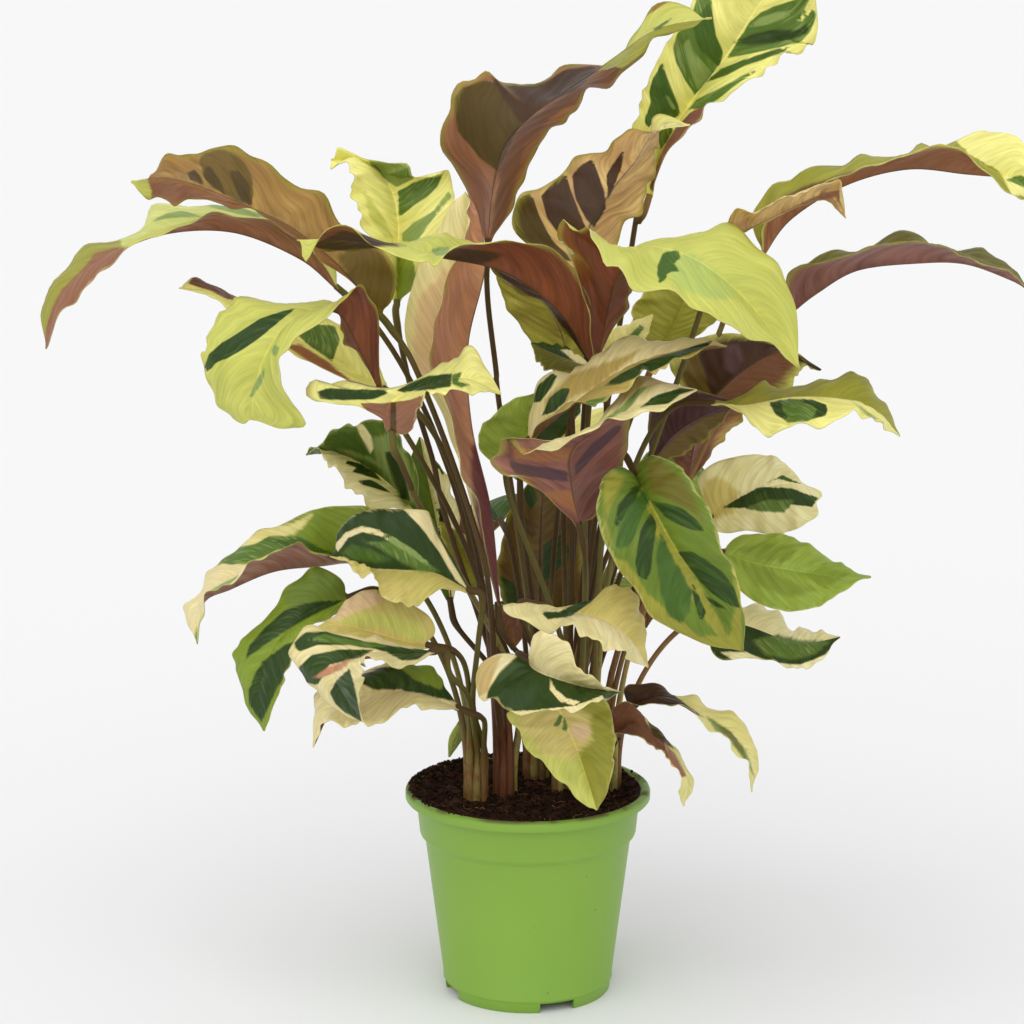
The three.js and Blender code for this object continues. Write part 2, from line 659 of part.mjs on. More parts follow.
function stalkLoop(centre, along, radius, twist) {
  const across = new THREE.Vector3(1, 0, 0);
  across.addScaledVector(along, -across.dot(along)).normalize();
  const other = along.clone().cross(across);
  return Array.from({ length: STALK_SIDES }, (_, side) => {
    const turn = twist + (2 * Math.PI * side) / STALK_SIDES;
    return centre.clone()
      .addScaledVector(across, radius * Math.cos(turn))
      .addScaledVector(other, radius * Math.sin(turn));
  });
}

// A leaf stalk's centre line: straight up out of the soil, then in a bow to the neck of the blade.
function stalkLine(leaf, lines, foot) {
  const neck = lines.rib[0].clone();
  const along = direction(lines.rib, 0);
  neck.addScaledVector(along, -GAP);
  const start = new THREE.Vector3(foot[0], foot[1], SOIL_HEIGHT + STALK_STRAIGHT);
  const seen = (leaf.via ?? []).map((spot) => place(...spot)).reverse();
  const beforeNeck = neck.clone().addScaledVector(along, -NECK_LENGTH);
  if (seen.length > 0) {
    const above = start.clone().setZ(start.z + STALK_LIFT * start.distanceTo(seen[0]));
    return { points: [start, above, ...seen, beforeNeck, neck], along };
  }
  const reach = start.distanceTo(beforeNeck);
  const bow = new THREE.CubicBezierCurve3(
    start,
    start.clone().add(new THREE.Vector3(0, 0, STALK_RISE * reach)),
    beforeNeck.clone().addScaledVector(along, -NECK_BEND * reach),
    beforeNeck,
  );
  return { points: [...bow.getPoints(STALK_STEPS - 1), neck], along };
}

function stalkGeometry(leaf, lines, foot) {
  const { points, along } = stalkLine(leaf, lines, foot);
  const up = new THREE.Vector3(0, 0, 1);
  const bottom = new THREE.Vector3(foot[0], foot[1], SOIL_HEIGHT - STALK_SINK);
  const loops = [stalkLoop(bottom, up, SHEATH_RADIUS, foot[2])];
  const steps = leaf.via ? STALK_STEPS + 2 : STALK_STEPS;
  const beforeLast = (points.length - 2) / (points.length - 1);
  for (let step = 0; step < steps; step += 1) {
    const t = (step / (steps - 1)) * beforeLast;
    const centre = throughPoints(points, t);
    const way = step === 0 ? up : direction(points, t);
    const rise = Math.min(1, Math.max(0, t) / SHEATH_HEIGHT);
    const radius = SHEATH_RADIUS + (STALK_RADIUS - SHEATH_RADIUS) * rise;
    loops.push(stalkLoop(centre, way, radius, foot[2]));
  }
  loops.push(stalkLoop(points.at(-1), along, NECK_RADIUS, foot[2]));
  return loft(loops);
}

const ringRadius = (count) => FOOT_SPACING / (2 * Math.sin(Math.PI / count));

// The stalks of a shoot stand in a ring, each on the side that its leaf grows to.
function feetOf(shoot, members) {
  const ring = ringRadius(members.length);
  const [x, y] = shoot.place;
  const turns = members.map(({ lines }) => Math.atan2(lines.rib[0].y - y, lines.rib[0].x - x));
  const order = turns.map((_, number) => number).sort((one, two) => turns[one] - turns[two]);
  const gap = (2 * Math.PI) / members.length;
  const drift = order.map((number, rank) => turns[number] - rank * gap);
  const start = drift.reduce((sum, turn) => sum + turn, 0) / drift.length;
  const feet = [];
  order.forEach((number, rank) => {
    const turn = start + rank * gap;
    feet[number] = [x + ring * Math.cos(turn), y + ring * Math.sin(turn), turn];
  });
  return feet;
}

// ---------------------------------------------------------------- soil and pot

function soilGeometry(shoots) {
  const bottom = FOOT_RECESS + WALL + GAP;
  const edgeHeight = SOIL_HEIGHT + SOIL_EDGE_RISE;
  const edgeRadius = innerRadius(edgeHeight) - GAP;
  const profile = [new THREE.Vector2(0, bottom), new THREE.Vector2(innerRadius(bottom) - GAP, bottom)];
  for (const z of [BAND_BOTTOM, BAND_BOTTOM + BAND_STEP, POT_HEIGHT - FLARE_HEIGHT, edgeHeight]) {
    profile.push(new THREE.Vector2(innerRadius(z) - GAP, z));
  }
  const flatRadius = edgeRadius - SOIL_EDGE_WIDTH;
  for (let ring = SOIL_RINGS; ring >= 1; ring -= 1) {
    profile.push(new THREE.Vector2(flatRadius * (ring / SOIL_RINGS), SOIL_HEIGHT));
  }
  profile.push(new THREE.Vector2(0, SOIL_HEIGHT));
  const lathe = new THREE.LatheGeometry(profile, POT_SIDES);
  lathe.rotateX(Math.PI / 2);
  const positions = lathe.getAttribute('position');
  for (let number = 0; number < positions.count; number += 1) {
    if (positions.getZ(number) === SOIL_HEIGHT) {
      const x = positions.getX(number) / SOIL_LUMP_LENGTH;
      const y = positions.getY(number) / SOIL_LUMP_LENGTH;
      const lump = Math.sin(x + 1) * Math.cos(y) + Math.sin(2 * y + x) / 2;
      positions.setZ(number, SOIL_HEIGHT + SOIL_LUMP_HEIGHT * lump);
    }
  }
  const cuts = shoots.map(({ place: [x, y], count }) => {
    const wide = (ringRadius(count) + SHEATH_RADIUS + GAP) / Math.cos(Math.PI / HOLE_SIDES);
    const deep = STALK_SINK + STALK_STRAIGHT;
    const hole = new THREE.CylinderGeometry(wide, wide, deep + GAP, HOLE_SIDES);
    hole.rotateX(Math.PI / 2);
    hole.translate(x, y, SOIL_HEIGHT + STALK_STRAIGHT - (deep + GAP) / 2);
    return hole;
  });
  return geometryOf(cuts.map(solidOf).reduce((rest, cut) => rest.subtract(cut), solidOf(lathe)));
}

// The pot's inner wall at a height: a flare into the rim, a steep band under it, and a tapered wall.
function innerRadius(z) {
  if (z < BAND_BOTTOM + BAND_STEP) {
    return FOOT_RADIUS + (WALL_TOP_RADIUS - FOOT_RADIUS) * Math.min(1, z / BAND_BOTTOM) - WALL;
  }
  const flareStart = POT_HEIGHT - FLARE_HEIGHT;
  const bandTop = BAND_TOP_RADIUS - WALL;
  if (z > flareStart) {
    return bandTop + (RIM_INNER_RADIUS - bandTop) * ((z - flareStart) / FLARE_HEIGHT);
  }
  const bandHeight = flareStart - BAND_BOTTOM - BAND_STEP;
  return bandTop - (BAND_TOP_RADIUS - BAND_RADIUS) * ((flareStart - z) / bandHeight);
}

function potGeometry() {
  const bandStart = BAND_BOTTOM + BAND_STEP;
  const skirtBottom = POT_HEIGHT - RIM_LIP_HEIGHT;
  const skirtInside = RIM_RADIUS - WALL;
  const ledge = POT_HEIGHT - WALL;
  const flareStart = POT_HEIGHT - FLARE_HEIGHT;
  const floor = FOOT_RECESS + WALL;
  const outline = [
    [0, FOOT_RECESS], [FOOT_RADIUS - FOOT_RING, FOOT_RECESS], [FOOT_RADIUS - FOOT_RING, 0],
    [FOOT_RADIUS, 0], [WALL_TOP_RADIUS, BAND_BOTTOM], [BAND_RADIUS, bandStart],
    [BAND_TOP_RADIUS, flareStart - WALL / 2], [RIM_INNER_RADIUS + WALL / 2, ledge],
    [skirtInside, ledge], [skirtInside, skirtBottom],
    [RIM_RADIUS, skirtBottom], [RIM_RADIUS, POT_HEIGHT - WALL], [skirtInside, POT_HEIGHT],
    [RIM_INNER_RADIUS, POT_HEIGHT], [innerRadius(flareStart), flareStart], [innerRadius(bandStart), bandStart],
    [innerRadius(BAND_BOTTOM), BAND_BOTTOM], [innerRadius(floor), floor], [0, floor],
  ];
  const lathe = new THREE.LatheGeometry(outline.map(([x, y]) => new THREE.Vector2(x, y)), POT_SIDES);
  lathe.rotateX(Math.PI / 2);
  let pot = solidOf(lathe);
  for (let number = 0; number < NOTCH_COUNT; number += 1) {
    const turn = THREE.MathUtils.degToRad(FIRST_NOTCH_DEGREES - 90) + (2 * Math.PI * number) / NOTCH_COUNT;
    const notch = new THREE.BoxGeometry(4 * FOOT_RING, NOTCH_WIDTH, 2 * NOTCH_HEIGHT);
    notch.translate(FOOT_RADIUS, 0, 0);
    notch.rotateZ(turn);
    pot = pot.subtract(solidOf(notch));
  }
  return geometryOf(pot);
}

// ---------------------------------------------------------------- putting it together

const leaves = LEAVES.map((leaf) => ({ leaf, lines: ribAndEdges(leaf) }));
const shoots = [];
for (const [name, shoot] of Object.entries(SHOOTS)) {
  const members = leaves.filter(({ leaf }) => leaf.shoot === name);
  const feet = feetOf(shoot, members);
  const stalks = members.map(({ leaf, lines }, number) => stalkGeometry(leaf, lines, feet[number]));
  addMesh(`shoot_${name}`, geometryOf(joined(stalks)), shoot.colour, STALK_ROUGHNESS);
  shoots.push({ place: shoot.place, count: members.length });
}
for (const { leaf, lines } of leaves) {
  addMesh(leaf.name, bladeGeometry(lines), leaf.colour, LEAF_ROUGHNESS);
}
addMesh('soil', soilGeometry(shoots), SOIL_BROWN, SOIL_ROUGHNESS);
addMesh('pot', potGeometry(), APPLE_GREEN, POT_ROUGHNESS);

export default plant;
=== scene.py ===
"""A potted calathea: a bushy prayer plant with cream, lime and dark green leaves in a green nursery pot.

Metres, +Z up, the pot's foot on the floor at the origin and the viewer at -Y. Leaf outlines and the places
of their blotches are pixels of a 1024-pixel picture taken from the camera's place, as column and row.
"""

import logging
import math
import random
from dataclasses import dataclass, field
from enum import Enum

import bmesh
import bpy
import numpy as np
from mathutils import Matrix, Vector, noise

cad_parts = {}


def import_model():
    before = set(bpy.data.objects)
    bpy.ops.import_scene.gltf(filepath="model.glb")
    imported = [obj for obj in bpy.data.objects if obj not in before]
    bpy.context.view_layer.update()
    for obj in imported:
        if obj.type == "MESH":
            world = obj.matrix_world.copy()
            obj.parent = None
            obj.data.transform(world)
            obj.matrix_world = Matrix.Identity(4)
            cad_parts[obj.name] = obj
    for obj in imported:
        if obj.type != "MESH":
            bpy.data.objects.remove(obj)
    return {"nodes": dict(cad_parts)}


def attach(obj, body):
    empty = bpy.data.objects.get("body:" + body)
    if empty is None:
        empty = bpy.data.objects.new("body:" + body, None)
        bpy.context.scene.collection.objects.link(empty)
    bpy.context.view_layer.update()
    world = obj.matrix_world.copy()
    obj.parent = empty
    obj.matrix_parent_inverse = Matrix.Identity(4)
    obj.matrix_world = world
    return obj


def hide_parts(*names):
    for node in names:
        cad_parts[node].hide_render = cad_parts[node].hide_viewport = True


log = logging.getLogger("calathea")

Pixel = tuple[float, float]
Array = np.ndarray
Socket = bpy.types.NodeSocket

MM = 0.001
BODY = "root"
VEIN_REACH = 0.21
VEIN_BOW = 1.5
SIDE_VEINS = 38


class Tone(Enum):
    """The colours of the plant and its pot, as red, green and blue out of 255."""

    LIME = (196, 197, 104)
    PALE_LIME = (206, 208, 132)
    LIME_GREEN = (128, 148, 50)
    FRESH_GREEN = (148, 168, 70)
    LEAF_GREEN = (104, 126, 44)
    OLIVE_LIME = (150, 148, 58)
    YELLOW = (238, 230, 144)
    PALE_YELLOW = (224, 212, 142)
    CREAM = (229, 212, 162)
    PALE_CREAM = (240, 228, 180)
    STRAW = (206, 190, 116)
    KHAKI = (178, 156, 88)
    PINK_CREAM = (220, 188, 146)
    MID_GREEN = (86, 116, 44)
    DARK_GREEN = (42, 64, 24)
    PALE_GREEN = (174, 188, 102)
    GREY_GREEN = (136, 156, 90)
    DEEP_GREEN = (64, 96, 34)
    OLIVE = (110, 106, 40)
    DARK_OLIVE = (76, 60, 26)
    SLATE = (84, 58, 64)
    RED_BROWN = (124, 70, 46)
    PURPLE_BROWN = (116, 74, 48)
    DUSKY = (144, 100, 76)
    DARK_BROWN = (64, 43, 28)
    OLIVE_BROWN = (104, 84, 38)
    GOLD_BROWN = (154, 122, 66)
    ROSE_BROWN = (154, 104, 68)
    PINK_BROWN = (190, 138, 106)
    MAUVE = (136, 92, 82)
    WINE = (108, 54, 54)
    TAN = (196, 166, 112)
    STALK_DARK = (80, 60, 28)
    STALK_OLIVE = (98, 90, 38)
    STALK_TAN = (138, 106, 62)
    STALK_PALE = (178, 172, 92)
    SOIL = (38, 22, 12)
    SOIL_LIGHT = (80, 48, 30)
    FIBRE = (176, 126, 84)
    APPLE_GREEN = (132, 170, 58)
    APPLE_SHADE = (114, 156, 46)
    FLOOR = (236, 236, 237)

    @property
    def rgba(self) -> tuple[float, float, float, float]:
        """The colour as linear red, green, blue and full alpha."""
        return (*(linear(part / 255) for part in self.value), 1.0)

    @property
    def streak(self) -> "Tone":
        """The tone of the streaks that run through a blotch of this one."""
        greens = (Tone.DARK_GREEN, Tone.DEEP_GREEN, Tone.MID_GREEN, Tone.GREY_GREEN)
        return dict(zip(greens, greens[1:])).get(self, self)


def linear(part: float) -> float:
    """A screen colour's part, 0 to 1, as light."""
    return part / 12.92 if part <= 0.04045 else ((part + 0.055) / 1.055) ** 2.4


class Face(Enum):
    """The face of a leaf that a blotch shows on."""

    TOP = "top"
    UNDER = "under"
    BOTH = "both"


class Clump(Enum):
    """The shoots of the plant, each one clump of stalks, with its place on the soil in millimetres."""

    LEFT = (-16, 14)
    LEFT_FRONT = (-36, 2)
    FRONT = (26, 20)
    CENTRE = (6, 52)
    RIGHT_FRONT = (41, 0)
    RIGHT = (58, 24)
    BACK = (34, 45)


def path(*numbers: float) -> tuple[Pixel, ...]:
    """The pixels of an outline, from its columns and rows in turn."""
    return tuple(zip(numbers[::2], numbers[1::2]))


# ------------------------------------------------------------------ from picture to space


@dataclass(frozen=True)
class Viewpoint:
    """Where the picture was taken from: the eye in millimetres, and the lens in pixels."""

    eye: tuple[float, float, float] = (-11.0, -1970.0, 747.0)
    pitch: float = math.radians(11.69)
    focus: float = 2952.0
    centre: float = 512.0

    @property
    def forward(self) -> Array:
        """The way the eye looks."""
        return np.array([0.0, math.cos(self.pitch), -math.sin(self.pitch)])

    @property
    def upward(self) -> Array:
        """The way that is up in the picture."""
        return np.array([0.0, math.sin(self.pitch), math.cos(self.pitch)])

    def place(self, pixels: Array, distance: Array) -> Array:
        """Finds the points seen at pixels.

        Args:
            pixels: Columns and rows, one pair a line.
            distance: How far behind the pot's axis each point is, in millimetres.

        Returns:
            The points in millimetres, one a line.
        """
        pixels = np.atleast_2d(np.asarray(pixels, float))
        side = (pixels[:, :1] - self.centre) / self.focus
        rise = (self.centre - pixels[:, 1:2]) / self.focus
        ray = self.forward + side * np.array([1.0, 0.0, 0.0]) + rise * self.upward
        eye = np.array(self.eye)
        reach = (np.asarray(distance, float).reshape(-1, 1) - eye[1]) / ray[:, 1:2]
        return eye + ray * reach

    def pixels(self, points: Array) -> Array:
        """Finds the pixels that points are seen at.

        Args:
            points: Points in millimetres, one a line.

        Returns:
            Columns and rows, one pair a line.
        """
        away = points - np.array(self.eye)
        depth = away @ self.forward
        column = self.centre + self.focus * away[:, 0] / depth
        row = self.centre - self.focus * (away @ self.upward) / depth
        return np.stack([column, row], axis=1)


VIEW = Viewpoint()


def through(points: Array, t: Array) -> Array:
    """Runs a smooth curve through points, with a straight run-in and run-out.

    Args:
        points: The points, one a line.
        t: Where on the curve, 0 at its first point and 1 at its last.

    Returns:
        A point for each t, one a line.
    """
    last = len(points) - 1
    scaled = np.clip(t, 0, 1) * last
    span = np.minimum(scaled.astype(int), last - 1)
    f = (scaled - span)[:, None]
    padded = np.vstack([2 * points[:1] - points[1:2], points, 2 * points[-1:] - points[-2:-1]])
    a, b, c, d = (padded[span + shift] for shift in range(4))
    return 0.5 * (2 * b + (c - a) * f + (2 * a - 5 * b + 4 * c - d) * f * f + (3 * b - a - 3 * c + d) * f**3)


def unit(vectors: Array) -> Array:
    """The same directions with length one."""
    return vectors / np.maximum(np.linalg.norm(vectors, axis=-1, keepdims=True), 1e-9)


def inside_distance(points: Array, outline: Array) -> Array:
    """Measures how far inside a closed outline points are.

    Args:
        points: The points, one pair a line.
        outline: The outline's corners, one pair a line.

    Returns:
        The distance to the outline, positive inside it and negative outside.
    """
    near = np.full(len(points), 1e9)
    inside = np.zeros(len(points), bool)
    for one, two in zip(outline, np.roll(outline, -1, axis=0)):
        edge = two - one
        share = np.clip(((points - one) @ edge) / max(edge @ edge, 1e-9), 0, 1)
        near = np.minimum(near, np.linalg.norm(points - one - share[:, None] * edge, axis=1))
        crosses = (one[1] > points[:, 1]) != (two[1] > points[:, 1])
        height = np.where(abs(edge[1]) < 1e-9, 1e-9, edge[1])
        inside ^= crosses & (points[:, 0] < one[0] + edge[0] * (points[:, 1] - one[1]) / height)
    return np.where(inside, near, -near)


# ------------------------------------------------------------------ meshes and objects


def piece_of(name: str, mesh_source: bmesh.types.BMesh, node: str) -> bpy.types.Object:
    """Makes a piece of the object from a bmesh, in the place of a node.

    Args:
        name: The piece's name.
        mesh_source: The bmesh in metres, which is freed.
        node: The CAD node that the piece stands for.

    Returns:
        The new object.
    """
    mesh = bpy.data.meshes.new(name)
    mesh_source.to_mesh(mesh)
    mesh_source.free()
    mesh.polygons.foreach_set("use_smooth", [True] * len(mesh.polygons))
    piece = bpy.data.objects.new(name, mesh)
    bpy.context.scene.collection.objects.link(piece)
    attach(piece, BODY)
    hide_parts(node)
    return piece


SEAM_SIDE = (0.31, 0.95, 0.05)


def add_tube(mesh: bmesh.types.BMesh, line: Array, radii: Array, sides: int, turn: float = 0.0) -> list:
    """Adds a round tube with closed ends that follows a line.

    Args:
        mesh: The bmesh that it is added to, in metres.
        line: The middle line in millimetres, one point a line.
        radii: The radius at each point, in millimetres.
        sides: How many sides the tube has.
        turn: How far its first side is turned, in radians.

    Returns:
        The tube's vertices with how far along the line each one is, 0 to 1.
    """
    rings = len(line) - 1
    made = bmesh.ops.create_grid(mesh, x_segments=rings, y_segments=sides, size=1.0)["verts"]
    way = unit(np.gradient(line, axis=0))
    across = unit(np.cross(way, np.array(SEAM_SIDE)))
    other = np.cross(way, across)
    spots = []
    for vertex in made:
        row = round((vertex.co.x + 1) / 2 * rings)
        angle = turn + math.pi * (vertex.co.y + 1)
        out = across[row] * math.cos(angle) + other[row] * math.sin(angle)
        vertex.co = Vector((line[row] + radii[row] * out) * MM)
        spots.append((vertex, row / rings))
    seam = bmesh.ops.find_doubles(mesh, verts=made, dist=1e-7)["targetmap"]
    bmesh.ops.weld_verts(mesh, targetmap=seam)
    alive = [(vertex, along) for vertex, along in spots if vertex.is_valid]
    edges = {edge for vertex, _ in alive for edge in vertex.link_edges if edge.is_boundary}
    faces = bmesh.ops.holes_fill(mesh, edges=list(edges), sides=0)["faces"]
    tube = {face for vertex, _ in alive for face in vertex.link_faces} | set(faces)
    bmesh.ops.recalc_face_normals(mesh, faces=list(tube))
    return alive


# ------------------------------------------------------------------ shader wiring


class Wiring:
    """Adds nodes to one node tree and joins them up."""

    def __init__(self, tree: bpy.types.NodeTree) -> None:
        """Keeps the tree that the nodes go to."""
        self.tree = tree

    def plug(self, socket: Socket, value: object) -> None:
        """Links a socket to another one, or gives it a value."""
        if isinstance(value, bpy.types.NodeSocket):
            self.tree.links.new(value, socket)
        elif isinstance(value, Tone):
            socket.default_value = value.rgba
        else:
            socket.default_value = value

    def add(self, kind: str, inputs: dict | None = None, **settings: object) -> bpy.types.Node:
        """Adds a node.

        Args:
            kind: The node's type.
            inputs: What goes into its sockets, by name or number.
            **settings: The node's own settings.

        Returns:
            The new node.
        """
        node = self.tree.nodes.new(kind)
        for name, value in settings.items():
            setattr(node, name, value)
        for key, value in (inputs or {}).items():
            self.plug(node.inputs[key], value)
        return node

    def math(self, operation: str, *values: object) -> Socket:
        """Adds a sum of one or two values and gives its result."""
        return self.add("ShaderNodeMath", dict(enumerate(values)), operation=operation).outputs[0]

    def plus(self, one: object, two: object) -> Socket:
        """Adds an addition and gives its result."""
        return self.math("ADD", one, two)

    def minus(self, one: object, two: object) -> Socket:
        """Adds a subtraction and gives its result."""
        return self.math("SUBTRACT", one, two)

    def times(self, one: object, two: object) -> Socket:
        """Adds a multiplication and gives its result."""
        return self.math("MULTIPLY", one, two)

    def mix(self, share: object, one: object, two: object, blend: str = "MIX") -> Socket:
        """Adds a mix of two colours and gives its result."""
        node = self.add("ShaderNodeMix", {0: share, 6: one, 7: two}, data_type="RGBA", blend_type=blend)
        return node.outputs[2]

    def cover(self, colour: object, mask: object, share: float, paint: object) -> Socket:
        """Lays a share of a paint over a colour where a mask is and gives the result."""
        return self.mix(self.times(mask, share), colour, paint)

    def stain(self, colour: object, mask: object, share: float, tint: tuple[float, float, float]) -> Socket:
        """Multiplies a colour by a share of a tint where a mask is and gives the result."""
        return self.mix(self.times(mask, share), colour, (*tint, 1.0), "MULTIPLY")

    def brighten(self, colour: object, value: object) -> Socket:
        """Makes a colour lighter or darker by a value about 1 and gives the result."""
        return self.add("ShaderNodeHueSaturation", {"Color": colour, "Value": value}).outputs[0]

    def ramp(self, value: object, low: object, high: object) -> Socket:
        """Adds a smooth step from 0 at low to 1 at high and gives its result."""
        node = self.add("ShaderNodeMapRange", {0: value, 1: low, 2: high}, interpolation_type="SMOOTHSTEP")
        return node.outputs[0]

    def noise(self, place: object, scale: object, detail: float = 2.0) -> Socket:
        """Adds cloudy noise and gives its value, 0 to 1."""
        return self.add("ShaderNodeTexNoise", {"Vector": place, "Scale": scale, "Detail": detail}).outputs[0]

    def vector(self, x: object, y: object, z: object) -> Socket:
        """Adds a vector of three values and gives it."""
        return self.add("ShaderNodeCombineXYZ", {0: x, 1: y, 2: z}).outputs[0]

    def attribute(self, name: str) -> Socket:
        """Adds the reading of a mesh attribute and gives its value."""
        return self.add("ShaderNodeAttribute", attribute_name=name).outputs["Fac"]

    def place(self) -> Socket:
        """Adds the reading of a point's place on its object and gives it."""
        return self.add("ShaderNodeTexCoord").outputs["Object"]

    def group(self, tree: bpy.types.NodeTree, **inputs: object) -> bpy.types.NodeOutputs:
        """Adds a node group with what goes into its named sockets and gives its outputs."""
        named = {label.title(): value for label, value in inputs.items()}
        return self.add("ShaderNodeGroup", node_tree=tree, inputs=named).outputs


class Group:
    """A shader node group with named inputs and outputs."""

    def __init__(self, name: str, inputs: dict[str, float], outputs: tuple[str, ...]) -> None:
        """Makes the empty group.

        Args:
            name: The group's name.
            inputs: Its inputs' names and first values.
            outputs: Its outputs' names.
        """
        self.tree = bpy.data.node_groups.new(name, "ShaderNodeTree")
        for label, value in inputs.items():
            kind = "NodeSocketVector" if label == "Place" else "NodeSocketFloat"
            socket = self.tree.interface.new_socket(name=label, in_out="INPUT", socket_type=kind)
            if kind == "NodeSocketFloat":
                socket.default_value = value
        for label in outputs:
            self.tree.interface.new_socket(name=label, in_out="OUTPUT", socket_type="NodeSocketFloat")
        self.wiring = Wiring(self.tree)
        self.given = self.tree.nodes.new("NodeGroupInput").outputs
        self.result = self.tree.nodes.new("NodeGroupOutput").inputs

    def give(self, **results: Socket) -> bpy.types.NodeTree:
        """Joins the results to the group's outputs and gives the finished group."""
        for label, value in results.items():
            self.wiring.plug(self.result[label.replace("_", " ").title()], value)
        return self.tree


def vein_group() -> bpy.types.NodeTree:
    """Builds the group that finds a leaf's veins and the streaks beside them.

    Returns:
        The group: Grain and Fine are coarse and fine noise drawn out along the veins, Side Vein and
        Midrib are thin lines, and Cloud is broad noise.
    """
    group = Group(
        "leaf_veins", {"Along": 0.0, "Across": 0.0, "Seed": 0.0},
        ("Grain", "Fine", "Side Vein", "Midrib", "Cloud"),
    )
    w, given = group.wiring, group.given
    out = w.math("ABSOLUTE", given["Across"])
    half = w.times(w.math("SIGN", given["Across"]), 3.1)
    vein = w.minus(given["Along"], w.times(w.math("POWER", out, VEIN_BOW), VEIN_REACH))
    seed = w.plus(given["Seed"], half)

    def drawn_out(along: float, across: float, detail: float) -> Socket:
        """Adds noise with so many streaks along the leaf and across half of it."""
        return w.noise(w.vector(w.times(vein, along), w.times(out, across), seed), 1.0, detail)

    streak, cloud = drawn_out(34.0, 1.7, 3.0), drawn_out(5.0, 1.3, 2.0)
    thin = w.minus(drawn_out(84.0, 3.0, 2.0), 0.5)
    beat = w.math("ABSOLUTE", w.math("SINE", w.times(vein, SIDE_VEINS * math.pi)))
    rib_width = w.minus(0.05, w.times(given["Along"], 0.035))
    return group.give(
        grain=w.plus(w.minus(streak, 0.5), w.times(thin, 0.45)),
        side_vein=w.times(w.minus(1.0, w.ramp(beat, 0.0, 0.5)), w.ramp(out, 0.02, 0.12)),
        midrib=w.minus(1.0, w.ramp(out, 0.0, rib_width)),
        cloud=cloud,
        fine=thin,
    )


def blotch_group() -> bpy.types.NodeTree:
    """Builds the group that spreads blotches between the veins.

    Returns:
        The group, which gives the blotches as Mask.
    """
    group = Group("leaf_blotches", {"Cloud": 0.5, "Streak": 0.0, "Cover": 0.0}, ("Mask",))
    w, given = group.wiring, group.given
    value = w.plus(given["Cloud"], w.times(given["Streak"], 0.25))
    edge = w.minus(0.72, w.times(given["Cover"], 0.5))
    some = w.math("GREATER_THAN", given["Cover"], 0.01)
    return group.give(mask=w.times(w.ramp(value, edge, w.plus(edge, 0.02)), some))


def mark_group() -> bpy.types.NodeTree:
    """Builds the group that draws one mark with an edge feathered along the veins.

    Returns:
        The group, which gives the mark as Mask.
    """
    group = Group("leaf_mark", {"Distance": 0.0, "Feather": 3.0, "Streak": 0.0}, ("Mask",))
    w, given = group.wiring, group.given
    reach = w.plus(1.0, w.times(given["Feather"], 0.8))
    soft = w.plus(0.4, w.times(given["Feather"], 0.32))
    value = w.plus(given["Distance"], w.times(given["Streak"], reach))
    return group.give(mask=w.ramp(value, w.times(soft, -1.0), soft))


def grit_group() -> bpy.types.NodeTree:
    """Builds the group of fine and coarse noise that soil, plastic and stalks share.

    Returns:
        The group, with the noise as Coarse and Fine and rare small dots as Specks.
    """
    group = Group("grit", {"Place": 0.0, "Scale": 100.0}, ("Coarse", "Fine", "Specks"))
    w, given = group.wiring, group.given
    fine = w.noise(given["Place"], w.times(given["Scale"], 6.0), 2.0)
    return group.give(
        coarse=w.noise(given["Place"], given["Scale"], 3.0), fine=fine, specks=w.ramp(fine, 0.7, 0.76),
    )


@dataclass
class Palette:
    """The node groups that the materials share."""

    veins: bpy.types.NodeTree = field(default_factory=vein_group)
    blotches: bpy.types.NodeTree = field(default_factory=blotch_group)
    mark: bpy.types.NodeTree = field(default_factory=mark_group)
    grit: bpy.types.NodeTree = field(default_factory=grit_group)


@dataclass
class Finish:
    """A material in the making: its name, and how much it mirrors."""

    name: str
    specular: float = 0.5

    def __post_init__(self) -> None:
        """Makes the material with only a Principled shader."""
        self.material = bpy.data.materials.new(self.name)
        self.material.use_nodes = True
        self.material.node_tree.nodes.clear()
        self.wiring = Wiring(self.material.node_tree)
        self.shader = self.wiring.add("ShaderNodeBsdfPrincipled", {"Specular IOR Level": self.specular})
        self.wiring.add("ShaderNodeOutputMaterial", {"Surface": self.shader.outputs[0]})

    def set(self, values: dict[str, object]) -> None:
        """Plugs values into the shader's sockets, by name."""
        for label, value in values.items():
            self.wiring.plug(self.shader.inputs[label], value)

    def relief(self, height: Socket, strength: float, depth: float) -> None:
        """Gives the surface bumps.

        Args:
            height: How high each point stands.
            strength: The bumps' share of their full effect.
            depth: How deep the bumps are, in metres.
        """
        bump = self.wiring.add("ShaderNodeBump", {"Height": height, "Strength": strength, "Distance": depth})
        self.set({"Normal": bump.outputs[0]})


# ------------------------------------------------------------------ leaf finishes


@dataclass(frozen=True)
class Half:
    """The colours of one half of a leaf, from its midrib to its edge, and how much of it is blotched."""

    top: Tone
    blotch: Tone = Tone.DARK_GREEN
    cover: float = 0.0
    under: Tone = Tone.PURPLE_BROWN


@dataclass(frozen=True)
class Mark:
    """One blotch or painted shadow with its own place: its colour, its outline in pixels, and how feathered
    its edge is.
    """

    tone: Tone
    outline: tuple[Pixel, ...]
    face: Face = Face.TOP
    feather: float = 4.0


